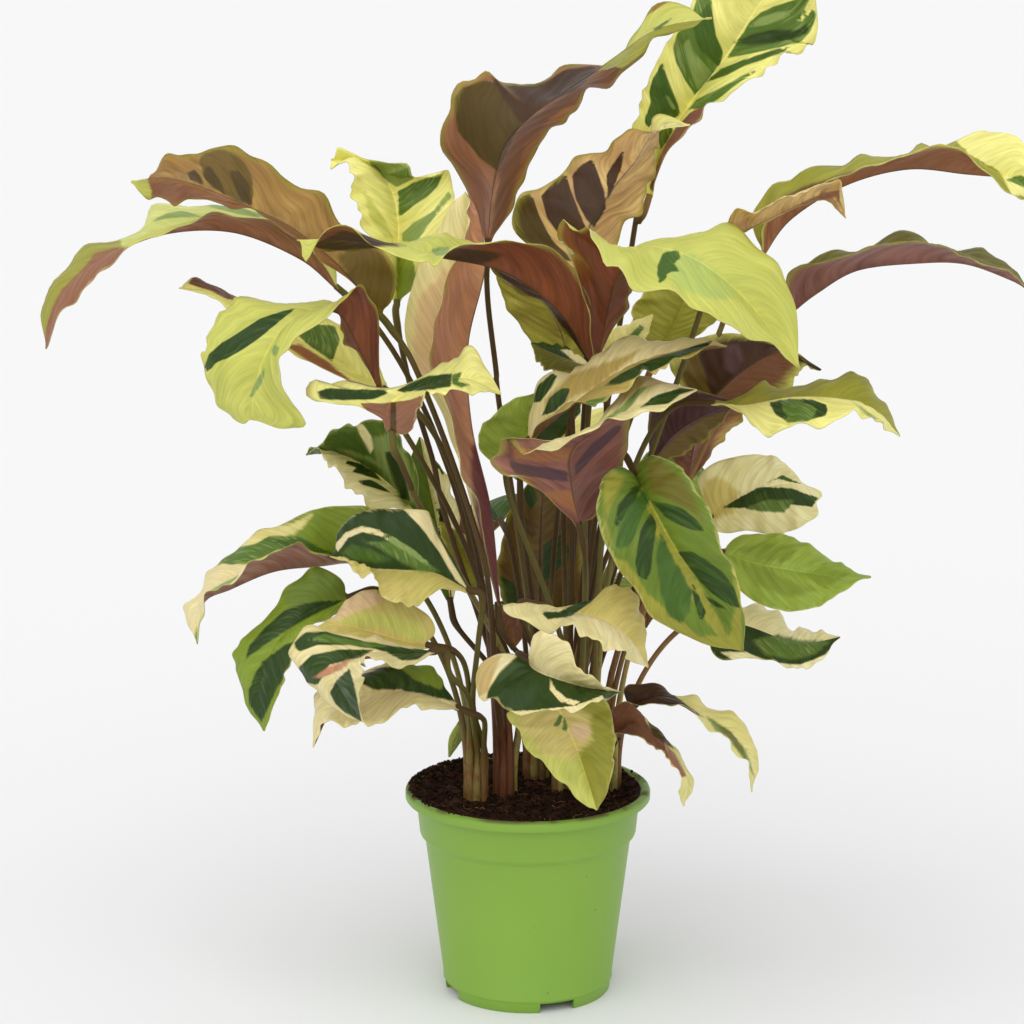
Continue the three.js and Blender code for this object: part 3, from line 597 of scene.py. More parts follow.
@dataclass
class Faces:
    """The colours of a leaf's two faces so far, and the veins that they follow."""

    wiring: Wiring
    veins: bpy.types.NodeOutputs
    top: Socket
    under: Socket

    CLOUD, DARK_STREAK, PALE_STREAK = (0.38, 0.62), (0.0, 0.2), (0.0, -0.2)
    TOP_STAINS = ((0.4, (0.68, 0.74, 0.5)), (0.35, (0.68, 0.76, 0.5)), (0.4, (1.28, 1.24, 1.15)))
    UNDER_STAINS = ((0.5, (0.62, 0.48, 0.46)), (0.55, (0.6, 0.5, 0.42)), (0.6, (1.42, 1.42, 1.3)))

    def add_blotches(self, side: Socket, left: Half, right: Half, group: bpy.types.NodeTree) -> None:
        """Spreads blotches between the veins of both halves.

        Args:
            side: 0 on the left half and 1 on the right half.
            left: The left half's colours.
            right: The right half's colours.
            group: The node group that spreads them.
        """
        w = self.wiring
        cover = w.plus(w.times(side, right.cover - left.cover), left.cover)
        mask = w.group(group, cloud=self.veins["Cloud"], streak=self.veins["Grain"], cover=cover)["Mask"]
        self.top = w.mix(mask, self.top, w.mix(side, left.blotch, right.blotch))
        self.under = w.cover(self.under, mask, 0.7, Tone.DARK_BROWN)

    def add_streaks(self) -> None:
        """Lays broad clouds, dark streaks and pale streaks over both faces."""
        w, grain = self.wiring, self.veins["Grain"]
        clouds = w.ramp(self.veins["Cloud"], *self.CLOUD)
        masks = (clouds, w.ramp(grain, *self.DARK_STREAK), w.ramp(grain, *self.PALE_STREAK))
        for mask, on_top, on_under in zip(masks, self.TOP_STAINS, self.UNDER_STAINS):
            self.top = w.stain(self.top, mask, *on_top)
            self.under = w.stain(self.under, mask, *on_under)

    def add_marks(self, marks: tuple[Mark, ...], group: bpy.types.NodeTree) -> None:
        """Draws the blotches and painted shadows, each on its own face, with streaks along the veins.

        Args:
            marks: The blotches and painted shadows, in the order that they are drawn.
            group: The node group that draws one.
        """
        w, grain = self.wiring, self.veins["Grain"]
        dark = w.ramp(grain, *self.DARK_STREAK)
        streaks = w.math("MAXIMUM", w.ramp(self.veins["Fine"], 0.0, -0.15), w.ramp(grain, -0.02, -0.2))
        streaks = w.times(streaks, w.ramp(self.veins["Cloud"], 0.66, 0.42))
        for number, mark in enumerate(marks):
            distance = w.attribute(f"mark_{number}")
            mask = w.group(group, distance=distance, feather=mark.feather, streak=grain)["Mask"]
            paint = w.cover(mark.tone, streaks, 0.85, mark.tone.streak)
            paint = w.stain(paint, dark, 0.35, (0.62, 0.64, 0.6))
            if mark.face is not Face.UNDER:
                self.top = w.mix(mask, self.top, paint)
            if mark.face is not Face.TOP:
                self.under = w.mix(mask, self.under, paint)

    def add_edges(self, across: Socket, rim: Tone | None) -> None:
        """Paints the rim, the side veins and the midrib.

        Args:
            across: Where across the blade.
            rim: The colour of a broad rim below, or nothing for a thin one.
        """
        w = self.wiring
        rough_edge = w.plus(w.math("ABSOLUTE", across), w.times(self.veins["Grain"], 0.15))
        inner, share = (0.66, 0.85) if rim else (0.86, 0.6)
        self.under = w.cover(self.under, w.ramp(rough_edge, inner, 1.0), share, rim or Tone.OLIVE_LIME)
        self.top = w.cover(self.top, w.ramp(rough_edge, 0.95, 1.0), 0.35, Tone.PALE_YELLOW)
        self.top = w.stain(self.top, self.veins["Side Vein"], 0.3, (0.74, 0.78, 0.56))
        self.under = w.stain(self.under, self.veins["Side Vein"], 0.3, (0.7, 0.6, 0.5))
        self.top = w.stain(self.top, self.veins["Midrib"], 0.6, (1.5, 1.4, 1.3))
        self.under = w.cover(self.under, self.veins["Midrib"], 0.8, Tone.STALK_DARK)


@dataclass(frozen=True)
class LeafFinish:
    """The colours of a leaf, and how its surface takes the light."""

    left: Half
    right: Half
    marks: tuple[Mark, ...] = ()
    rim: Tone | None = None
    roughness: float = 0.42
    bumps: float = 0.22
    glow: float = 0.45
    glow_reach: tuple[float, float, float] = (1.0, 0.9, 0.35)
    glow_depth: float = 2.0 * MM

    def material(self, name: str, palette: Palette, seed: float) -> bpy.types.Material:
        """Builds the leaf's material.

        Args:
            name: The material's name.
            palette: The shared node groups.
            seed: A number that sets this leaf's own streaks.

        Returns:
            The material, which reads the blade's along, across, upper and mark attributes.
        """
        finish = Finish(name, specular=0.2)
        w = finish.wiring
        along, across, upper = (w.attribute(label) for label in ("along", "across", "upper"))
        veins = w.group(palette.veins, along=along, across=across, seed=seed)
        grain, fine = veins["Grain"], veins["Fine"]
        side = w.ramp(w.plus(across, w.times(grain, 0.02)), -0.012, 0.012)
        top = w.mix(side, self.left.top, self.right.top)
        under = w.mix(side, self.left.under, self.right.under)
        faces = Faces(w, veins, top, under)
        if self.left.cover + self.right.cover > 0:
            faces.add_blotches(side, self.left, self.right, palette.blotches)
        faces.add_streaks()
        faces.add_marks(self.marks, palette.mark)
        faces.add_edges(across, self.rim)
        finish.set({
            "Base Color": w.brighten(w.mix(upper, faces.under, faces.top), w.plus(1.0, w.times(fine, 0.55))),
            "Roughness": w.plus(self.roughness, w.times(grain, 0.2)),
            "Subsurface Weight": self.glow,
            "Subsurface Radius": self.glow_reach,
            "Subsurface Scale": self.glow_depth,
        })
        finish.relief(w.plus(w.times(fine, 0.5), w.times(veins["Side Vein"], 0.45)), self.bumps, 0.5 * MM)
        return finish.material


# ------------------------------------------------------------------ leaves


@dataclass(frozen=True)
class Leaf:
    """One leaf blade.

    Its stations run from the stalk to the tip: the midrib's place [column, row, distance], and between
    the ends also the left edge's and the right edge's pixel. Left and right are as seen on the upper
    face, looking from the stalk to the tip. left_edge and right_edge follow the outline more closely.
    Half is the real width of one half in millimetres, sides say which way each half is turned, and via
    gives places [column, row, distance] that the stalk passes, from the leaf down.
    """

    name: str
    clump: Clump
    half: float
    sides: tuple[float, float]
    slot: str
    stations: tuple[tuple[float, ...], ...]
    left: Half
    right: Half | None = None
    via: tuple[tuple[float, float, float], ...] = ()
    marks: tuple[Mark, ...] = ()
    left_edge: tuple[Pixel, ...] = ()
    right_edge: tuple[Pixel, ...] = ()
    rim: Tone | None = None
    wave: float = 2.2

    ALONG_STEPS, ACROSS_STEPS = 84, 30
    RIB_CROWDING = 1.35
    THICKNESS = 0.55
    NECK_HALF_WIDTH, TIP_HALF_WIDTH = 2.6, 0.7
    FULLNESS = 0.6
    OUTLINE_FINENESS = 12
    OUTLINE_EASE, RELIEF_EASE = 0.04, 0.12
    CAMBER = 3.0
    WAVES, RIPPLES, RIPPLE_SHARE = 3.6, 8.3, 0.45
    EDGE_SHIFT, EDGE_WEIGHT = 1.9, 2.2
    PLEATS, PLEAT_HEIGHT = 13, 0.55
    FULL_RELIEF_WIDTH = 30.0
    RIB_WIDTH, RIB_TAPER, RIB_GROOVE, RIB_KEEL = 0.045, 0.8, 0.35, 1.5

    @property
    def seed(self) -> float:
        """A number of the leaf's own, the same in every run."""
        return sum(ord(letter) * (place + 3) for place, letter in enumerate(self.name)) % 997 / 10

    def rib(self) -> Array:
        """The midrib's points, from the neck to the tip, in millimetres."""
        spots = np.array([station[:3] for station in self.stations], float)
        return VIEW.place(spots[:, :2], spots[:, 2])

    def edge(self, side: int) -> Array:
        """Finds the points of one edge.

        Args:
            side: 0 for the left edge, 1 for the right edge.

        Returns:
            The edge's points, one for each station, in millimetres.
        """
        rib = self.rib()
        last = len(self.stations) - 1
        pixels = np.array([station[3 + 2 * side : 5 + 2 * side] for station in self.stations[1:-1]], float)
        depth = np.array([station[2] for station in self.stations[1:-1]], float)
        flat = VIEW.place(pixels, depth)
        shown = np.linalg.norm(flat - rib[1:-1], axis=1)
        u = np.arange(1, last) / last
        wide = self.half * (4 * u * (1 - u)) ** self.FULLNESS
        turned = np.sqrt(np.maximum(0.0, wide**2 - shown**2)) * self.sides[side]
        return np.vstack([rib[:1], VIEW.place(pixels, depth + turned), rib[-1:]])

    def edges(self) -> tuple[Array, Array]:
        """Finds both edges, with the short ends of the blade squared off across the midrib.

        Returns:
            The left edge's points and the right edge's points, one for each station, in millimetres.
        """
        rib, left, right = self.rib(), self.edge(0), self.edge(1)
        for end, near, width in ((0, 1, self.NECK_HALF_WIDTH), (-1, -2, self.TIP_HALF_WIDTH)):
            along = unit(rib[near] - rib[end])
            across = right[near] - left[near]
            across = unit(across - along * (across @ along))
            left[end] = rib[end] - across * width
            right[end] = rib[end] + across * width
        return left, right

    def edge_line(self, points: Array, outline: tuple[Pixel, ...], u: Array) -> Array:
        """Follows an edge, along its outline where it has one.

        Args:
            points: The edge's points at the stations.
            outline: The edge's outline in pixels, from the neck to the tip, or nothing.
            u: Where along the leaf, 0 at the neck and 1 at the tip.

        Returns:
            A point for each u, in millimetres.
        """
        coarse = through(points, u)
        if not outline:
            return coarse
        corners = np.array(outline, float)
        fine = through(corners, np.linspace(0, 1, self.OUTLINE_FINENESS * len(corners)))
        run = np.concatenate([[0.0], np.cumsum(np.linalg.norm(np.diff(fine, axis=0), axis=1))])
        spots = VIEW.pixels(points)
        marks = [0.0]
        for spot in spots[1:-1]:
            reach = np.linalg.norm(fine - spot, axis=1) + np.where(run < marks[-1], 1e6, 0.0)
            marks.append(run[int(np.argmin(reach))])
        marks.append(run[-1])
        marks = np.maximum.accumulate(np.array(marks))
        where = np.interp(u * (len(points) - 1), np.arange(len(points)), marks)
        pixels = np.stack([np.interp(where, run, fine[:, axis]) for axis in (0, 1)], axis=1)
        pull = np.clip(np.minimum(u, 1 - u) / self.OUTLINE_EASE, 0, 1)[:, None]
        return VIEW.place(pixels * pull + VIEW.pixels(coarse) * (1 - pull), coarse[:, 1])

    def relief(self, u: Array, v: Array, width: Array) -> Array:
        """Finds how far the sheet stands out from a flat one: its camber, its waves and its pleats.

        Args:
            u: Where along the leaf, 0 at the neck and 1 at the tip.
            v: Where across it, -1 at the left edge and 1 at the right edge.
            width: How wide this half of the leaf is there, in millimetres.

        Returns:
            The heights in millimetres.
        """
        out, seed = np.abs(v), self.seed
        shift = np.where(v < 0, 0.0, self.EDGE_SHIFT)
        camber = self.CAMBER * 4 * out * (1 - out)
        ripple = np.sin(2 * math.pi * (self.WAVES + seed % 1.7) * u + seed + shift)
        small = np.sin(2 * math.pi * (self.RIPPLES + seed % 2.3) * u + 2 * seed - shift)
        ripple += self.RIPPLE_SHARE * small
        vein = u - VEIN_REACH * out**VEIN_BOW
        pleat = self.PLEAT_HEIGHT * np.sin(2 * math.pi * self.PLEATS * vein)
        pleat = pleat * np.minimum(1, 6 * out * (1 - 0.5 * out))
        ends = np.clip(np.minimum(u, 1 - u) / self.RELIEF_EASE, 0, 1)
        share = np.clip(width / self.FULL_RELIEF_WIDTH, 0, 1) * ends
        return share * (camber + self.wave * ripple * out**self.EDGE_WEIGHT + pleat)

    def surface(self, u: Array, v: Array) -> tuple[Array, Array]:
        """Finds the middle of the blade's sheet.

        Args:
            u: Where along the leaf, 0 at the neck and 1 at the tip.
            v: Where across it, -1 at the left edge and 1 at the right edge.

        Returns:
            The points in millimetres and the ways that the upper face looks.
        """
        left, right = self.edges()
        rib = through(self.rib(), u)
        on_left = self.edge_line(left, self.left_edge, u)
        on_right = self.edge_line(right, self.right_edge, u)
        out = np.abs(v)[:, None]
        edge = np.where((v < 0)[:, None], on_left, on_right)
        point = rib + (edge - rib) * out
        ahead = through(self.rib(), u + 0.02) - through(self.rib(), u - 0.02)
        here_right = rib + (on_right - rib) * np.clip(v + 0.5, 0, 1)[:, None]
        here_left = rib + (on_left - rib) * np.clip(0.5 - v, 0, 1)[:, None]
        normal = unit(np.cross(here_right - here_left, ahead))
        lift = self.relief(u, v, np.linalg.norm(edge - rib, axis=1))
        return point + normal * lift[:, None], normal

    def blade(self) -> bpy.types.Object:
        """Builds the blade: one closed sheet with a sunk midrib above and a raised one below.

        Returns:
            The blade's piece, in the place of its node.
        """
        mesh = bmesh.new()
        layers = {label: mesh.verts.layers.float.new(label) for label in ("along", "across", "upper")}
        marks = [mesh.verts.layers.float.new(f"mark_{number}") for number in range(len(self.marks))]
        steps = {"x_segments": self.ALONG_STEPS, "y_segments": self.ACROSS_STEPS}
        grid = bmesh.ops.create_grid(mesh, size=1.0, **steps)["verts"]
        for vertex in grid:
            vertex[layers["along"]] = (vertex.co.x + 1) / 2
            vertex[layers["across"]] = math.copysign(abs(vertex.co.y) ** self.RIB_CROWDING, -vertex.co.y)
            vertex[layers["upper"]] = 1.0
        bmesh.ops.solidify(mesh, geom=mesh.faces[:], thickness=0.01)
        upper = set(grid)
        everyone = mesh.verts[:]
        for vertex in everyone:
            if vertex not in upper:
                vertex[layers["upper"]] = 0.0
        u = np.array([vertex[layers["along"]] for vertex in everyone])
        v = np.array([vertex[layers["across"]] for vertex in everyone])
        top = np.array([vertex[layers["upper"]] for vertex in everyone])
        middle, normal = self.surface(u, v)
        rib = np.exp(-((np.abs(v) / self.RIB_WIDTH) ** 2)) * (1 - self.RIB_TAPER * u)
        above, below = self.THICKNESS / 2 - self.RIB_GROOVE * rib, -self.THICKNESS / 2 - self.RIB_KEEL * rib
        points = middle + normal * np.where(top > 0.5, above, below)[:, None]
        seen = VIEW.pixels(middle)
        depths = [inside_distance(seen, np.array(mark.outline, float)) for mark in self.marks]
        for number, vertex in enumerate(everyone):
            vertex.co = Vector(points[number] * MM)
            for layer, depth in zip(marks, depths):
                vertex[layer] = depth[number]
        if mesh.calc_volume(signed=True) < 0:
            bmesh.ops.reverse_faces(mesh, faces=mesh.faces[:])
        return piece_of(f"blade_{self.name}", mesh, f"leaf_{self.name}")

    def dress(self, piece: bpy.types.Object, palette: Palette) -> None:
        """Gives the blade's piece a material of its own."""
        finish = LeafFinish(self.left, self.right or self.left, self.marks, self.rim)
        piece.data.materials.append(finish.material(f"leaf_{self.name}", palette, self.seed))

    def build(self, palette: Palette) -> bpy.types.Object:
        """Builds and dresses the blade.

        Args:
            palette: The shared node groups.

        Returns:
            The finished piece.
        """
        piece = self.blade()
        self.dress(piece, palette)
        return piece


@dataclass(frozen=True)
class StalkFinish:
    """The colours of a shoot's stalks, from the soil up."""

    base: Tone
    middle: Tone
    top: Tone
    middle_from: tuple[float, float] = (0.02, 0.3)
    top_from: tuple[float, float] = (0.55, 0.95)
    roughness: float = 0.4
    fibre_scale: tuple[float, float, float] = (900.0, 900.0, 60.0)
    grit_scale: float = 140.0

    def material(self, name: str, palette: Palette) -> bpy.types.Material:
        """Builds the stalks' material.

        Args:
            name: The material's name.
            palette: The shared node groups.

        Returns:
            The material, which reads the stalks' along and shade attributes.
        """
        finish = Finish(name, specular=0.2)
        w = finish.wiring
        along, shade, place = w.attribute("along"), w.attribute("shade"), w.place()
        drawn_out = w.add("ShaderNodeMapping", {"Vector": place, "Scale": self.fibre_scale}).outputs[0]
        fibres = w.noise(drawn_out, 1.0)
        grit = w.group(palette.grit, place=place, scale=self.grit_scale)
        colour = w.mix(w.ramp(along, *self.middle_from), self.base, self.middle)
        colour = w.mix(w.ramp(along, *self.top_from), colour, self.top)
        colour = w.cover(colour, w.ramp(shade, 0.3, 0.9), 0.8, Tone.STALK_PALE)
        reddish = w.times(w.ramp(grit["Coarse"], 0.45, 0.65), w.ramp(along, 0.5, 0.0))
        colour = w.cover(colour, reddish, 0.6, Tone.RED_BROWN)
        finish.set({
            "Base Color": w.brighten(colour, w.plus(0.75, w.times(fibres, 0.5))),
            "Roughness": w.plus(self.roughness, w.times(fibres, 0.2)),
        })
        finish.relief(fibres, 0.3, 0.4 * MM)
        return finish.material


@dataclass(frozen=True)
class Shoot:
    """One clump of stalks, joined at the foot in the soil."""

    clump: Clump
    slot: str
    finish: StalkFinish

    SOIL_HEIGHT = 137.0
    SINK = 24.0
    STRAIGHT = 12.0
    LIFT = 0.3
    RISE = 0.5
    NECK_BEND = 0.15
    NECK_LENGTH = 12.0
    SPACING = 5.2
    STEPS = 44
    SIDES = 12
    SHEATH_RADIUS = 3.4
    STALK_RADIUS = 1.9
    TAPER_SHARE, TAPER_POWER = 0.45, 0.8
    JOINT_RADIUS = 2.5
    JOINT_LENGTH, JOINT_EASE = 26.0, 8.0
    END_EASE, END_SHARE = 4.0, 0.55
    OVERRUN = 2.0

    def feet(self, leaves: list[Leaf]) -> list[tuple[float, float, float]]:
        """Places the stalks' feet in a ring, each on the side that its leaf grows to.

        Args:
            leaves: The leaves of this clump.

        Returns:
            Each foot's x and y in millimetres, and its turn on the ring.
        """
        x, y = self.clump.value
        ring = self.SPACING / (2 * math.sin(math.pi / len(leaves)))
        necks = [leaf.rib()[0] for leaf in leaves]
        turns = [math.atan2(neck[1] - y, neck[0] - x) for neck in necks]
        order = sorted(range(len(leaves)), key=lambda number: turns[number])
        gap = 2 * math.pi / len(leaves)
        start = sum(turns[number] - rank * gap for rank, number in enumerate(order)) / len(leaves)
        feet = [(0.0, 0.0, 0.0)] * len(leaves)
        for rank, number in enumerate(order):
            turn = start + rank * gap
            feet[number] = (x + ring * math.cos(turn), y + ring * math.sin(turn), turn)
        return feet

    def line(self, leaf: Leaf, foot: tuple[float, float, float]) -> Array:
        """Runs a stalk's middle line from its foot to its blade.

        Args:
            leaf: The leaf at the stalk's end.
            foot: The stalk's foot.

        Returns:
            The line's points in millimetres, from the bottom up.
        """
        rib = leaf.rib()
        neck = rib[0]
        ahead = unit(through(rib, np.array([0.02]))[0] - neck)
        start = np.array([foot[0], foot[1], self.SOIL_HEIGHT + self.STRAIGHT])
        before = neck - ahead * self.NECK_LENGTH
        up = np.array([0.0, 0.0, 1.0])
        if leaf.via:
            seen = np.array(leaf.via, float)[::-1]
            seen = VIEW.place(seen[:, :2], seen[:, 2])
            above = start + up * self.LIFT * np.linalg.norm(seen[0] - start)
            corners = np.vstack([start, above, seen, before, neck])
            bow = through(corners, np.linspace(0, 1, self.STEPS))
        else:
            reach = np.linalg.norm(before - start)
            one, two = start + up * self.RISE * reach, before - ahead * self.NECK_BEND * reach
            t = np.linspace(0, 1, self.STEPS)[:, None]
            bow = (1 - t) ** 3 * start + 3 * (1 - t) ** 2 * t * one + 3 * (1 - t) * t**2 * two + t**3 * before
            bow = np.vstack([bow, neck])
        bottom = np.array([foot[0], foot[1], self.SOIL_HEIGHT - self.SINK])
        return np.vstack([bottom, bow, neck + ahead * self.OVERRUN])

    def stalk_radii(self, line: Array) -> Array:
        """Finds how thick a stalk is: a sheath at the foot and a thicker joint under the blade.

        Args:
            line: The stalk's middle line in millimetres.

        Returns:
            The radius at each point of the line, in millimetres.
        """
        run = np.concatenate([[0.0], np.cumsum(np.linalg.norm(np.diff(line, axis=0), axis=1))])
        share = np.clip(run / run[-1] / self.TAPER_SHARE, 0, 1)
        radii = self.SHEATH_RADIUS + (self.STALK_RADIUS - self.SHEATH_RADIUS) * share**self.TAPER_POWER
        to_end = run[-1] - run
        joint = np.clip((self.JOINT_LENGTH - to_end) / self.JOINT_EASE, 0, 1)
        joint = joint * np.clip(to_end / self.END_EASE, self.END_SHARE, 1)
        return radii + (self.JOINT_RADIUS - self.STALK_RADIUS) * joint

    def build(self, leaves: list[Leaf], palette: Palette) -> bpy.types.Object:
        """Builds and dresses the clump's stalks.

        Args:
            leaves: The leaves of this clump.
            palette: The shared node groups.

        Returns:
            The finished piece.
        """
        mesh = bmesh.new()
        along = mesh.verts.layers.float.new("along")
        shade = mesh.verts.layers.float.new("shade")
        draw = random.Random(self.clump.name)
        for leaf, foot in zip(leaves, self.feet(leaves)):
            line = self.line(leaf, foot)
            light = draw.random() ** 0.9
            for vertex, share in add_tube(mesh, line, self.stalk_radii(line), self.SIDES, foot[2]):
                vertex[along] = share
                vertex[shade] = light * max(0.0, 1 - 1.3 * share)
        name = self.clump.name.lower()
        piece = piece_of(f"stalks_{name}", mesh, f"shoot_{name}")
        piece.data.materials.append(self.finish.material(f"stalks_{name}", palette))
        return piece


# ------------------------------------------------------------------ soil


@dataclass(frozen=True)
class Soil:
    """The soil in the pot: a lumpy bed, crumbs, and coir fibres."""

    height: float = 136.0
    edge_height: float = 143.2
    edge_radius: float = 78.5
    heap_width: float = 16.0
    wall: tuple[tuple[float, float], ...] = ((75.7, 140.3), (73.1, 114.0), (69.4, 111.0), (56.9, 10.1))
    rings: int = 100
    sectors: int = 170
    crumbs: int = 1500
    rim_crumbs: int = 800
    rim_crumb_turn: float = math.radians(135)
    fibres: int = 110
    fibre_steps: int = 7
    lump: float = 2.6
    bumps: tuple[tuple[float, float, float], ...] = ((0.035, 1.7, 1.0), (0.15, 4.1, 0.45), (0.5, 8.3, 0.28))
    seed: int = 11

    def level(self, x: float, y: float) -> float:
        """Finds how high the bed is: lumpy, and heaped toward the pot's rim.

        Args:
            x: The place's x in millimetres.
            y: The place's y in millimetres.

        Returns:
            The height in millimetres.
        """
        spots = ((Vector((x * pitch, y * pitch, z)), weight) for pitch, z, weight in self.bumps)
        rough = sum(weight * noise.noise(spot) for spot, weight in spots)
        share = min(1.0, max(0.0, (math.hypot(x, y) - self.edge_radius) / self.heap_width + 1))
        heap = (self.edge_height - self.height) * share * share * (3 - 2 * share)
        return self.height + heap + self.lump * (1 - 0.6 * share) * rough

    def add_bed(self, mesh: bmesh.types.BMesh) -> None:
        """Adds the bed: a disc of lumpy soil with a skirt down the pot's wall to its floor.

        Args:
            mesh: The empty bmesh that it is added to.
        """
        made = bmesh.ops.create_grid(mesh, x_segments=self.rings, y_segments=self.sectors, size=1.0)["verts"]
        skirt = self.rings - len(self.wall)
        for vertex in made:
            ring = round((vertex.co.x + 1) / 2 * self.rings)
            turn = math.pi * (vertex.co.y + 1)
            below = ring - skirt - 1
            radius, z = self.wall[below] if below >= 0 else (self.edge_radius * ring / skirt, None)
            x, y = radius * math.cos(turn), radius * math.sin(turn)
            vertex.co = Vector((x, y, self.level(x, y) if z is None else z)) * MM
        doubles = bmesh.ops.find_doubles(mesh, verts=made, dist=1e-6)["targetmap"]
        bmesh.ops.weld_verts(mesh, targetmap=doubles)
        edges = [edge for edge in mesh.edges if edge.is_boundary]
        bmesh.ops.holes_fill(mesh, edges=edges, sides=0)
        bmesh.ops.recalc_face_normals(mesh, faces=mesh.faces[:])

    def add_crumbs(self, mesh: bmesh.types.BMesh, draw: random.Random) -> None:
        """Scatters crumbs of soil on the bed and a few on the pot's rim, most of these at the back left.

        Args:
            mesh: The bmesh that they are added to.
            draw: The random draws.
        """
        for number in range(self.crumbs + self.rim_crumbs):
            radius = self.edge_radius * 0.985 * draw.random() ** 0.45
            turn = draw.uniform(0, 2 * math.pi)
            size = draw.uniform(0.6, 2.0) * (1.25 if draw.random() < 0.12 else 1.0)
            if number >= self.crumbs:
                turn = draw.gauss(self.rim_crumb_turn, 0.75)
                spread = 1.1 if abs(turn - 2.3) < 0.8 else 2.2
                radius = self.edge_radius + 0.2 + 4.2 * draw.random() ** spread
                size = draw.uniform(0.5, 1.9) * (1 - 0.1 * (radius - self.edge_radius))
            x, y = radius * math.cos(turn), radius * math.sin(turn)
            made = bmesh.ops.create_icosphere(mesh, subdivisions=1, radius=size * MM)["verts"]
            for vertex in made:
                vertex.co *= draw.uniform(0.75, 1.25)
            on_rim = min(145.0, 143.0 + radius - self.edge_radius)
            ground = self.level(x, y) if number < self.crumbs else on_rim
            spot = Vector((x, y, ground + size * 0.35)) * MM
            spin = Matrix.Rotation(draw.uniform(0, 6.3), 3, Vector((draw.random(), draw.random(), 1)))
            squash = Matrix.Diagonal((draw.uniform(0.7, 1.3), draw.uniform(0.7, 1.2), draw.uniform(0.5, 0.9)))
            bmesh.ops.transform(mesh, matrix=Matrix.Translation(spot) @ (spin @ squash).to_4x4(), verts=made)

    def add_fibres(
        self, mesh: bmesh.types.BMesh, draw: random.Random, strawy: bmesh.types.BMLayerItem,
    ) -> None:
        """Lays thin coir fibres on the bed.

        Args:
            mesh: The bmesh that they are added to.
            draw: The random draws.
            strawy: The layer that tells the fibres from the soil.
        """
        for _ in range(self.fibres):
            radius = self.edge_radius * 0.9 * math.sqrt(draw.random())
            turn, way = draw.uniform(0, 2 * math.pi), draw.uniform(0, 2 * math.pi)
            x, y = radius * math.cos(turn), radius * math.sin(turn)
            length, bend = draw.uniform(5, 18), draw.uniform(-0.12, 0.12)
            line = []
            for step in range(self.fibre_steps):
                reach = length * (step / (self.fibre_steps - 1) - 0.5)
                px, py = x + reach * math.cos(way + bend * reach), y + reach * math.sin(way + bend * reach)
                hop = draw.uniform(0.2, 1.6)
                if math.hypot(px, py) < self.edge_radius * 0.98:
                    line.append((px, py, self.level(px, py) + hop))
            if len(line) < 4:
                continue
            radii = np.full(len(line), draw.uniform(0.12, 0.3))
            straw = draw.random() ** 1.5
            for vertex, _ in add_tube(mesh, np.array(line), radii, 4):
                vertex[strawy] = 0.15 + 0.85 * straw

    def material(self, palette: Palette) -> bpy.types.Material:
        """Builds the soil's material.

        Args:
            palette: The shared node groups.

        Returns:
            The material, which reads the fibre attribute.
        """
        finish = Finish("soil", specular=0.15)
        w = finish.wiring
        grit = w.group(palette.grit, place=w.place(), scale=160.0)
        colour = w.cover(Tone.SOIL, w.ramp(grit["Coarse"], 0.4, 0.75), 0.8, Tone.SOIL_LIGHT)
        colour = w.cover(colour, grit["Specks"], 0.4, Tone.RED_BROWN)
        colour = w.mix(w.attribute("fibre"), colour, Tone.FIBRE)
        finish.set({"Base Color": colour, "Roughness": w.plus(0.8, w.times(grit["Fine"], 0.2))})
        finish.relief(grit["Fine"], 0.8, 1.0 * MM)
        return finish.material

    def build(self, palette: Palette) -> bpy.types.Object:
        """Builds and dresses the soil.

        Args:
            palette: The shared node groups.

        Returns:
            The finished piece.
        """
        mesh = bmesh.new()
        strawy = mesh.verts.layers.float.new("fibre")
        draw = random.Random(self.seed)
        self.add_bed(mesh)
        self.add_crumbs(mesh, draw)
        self.add_fibres(mesh, draw, strawy)
        piece = piece_of("soil_bed", mesh, "soil")
        piece.data.materials.append(self.material(palette))
        return piece


# ------------------------------------------------------------------ pot


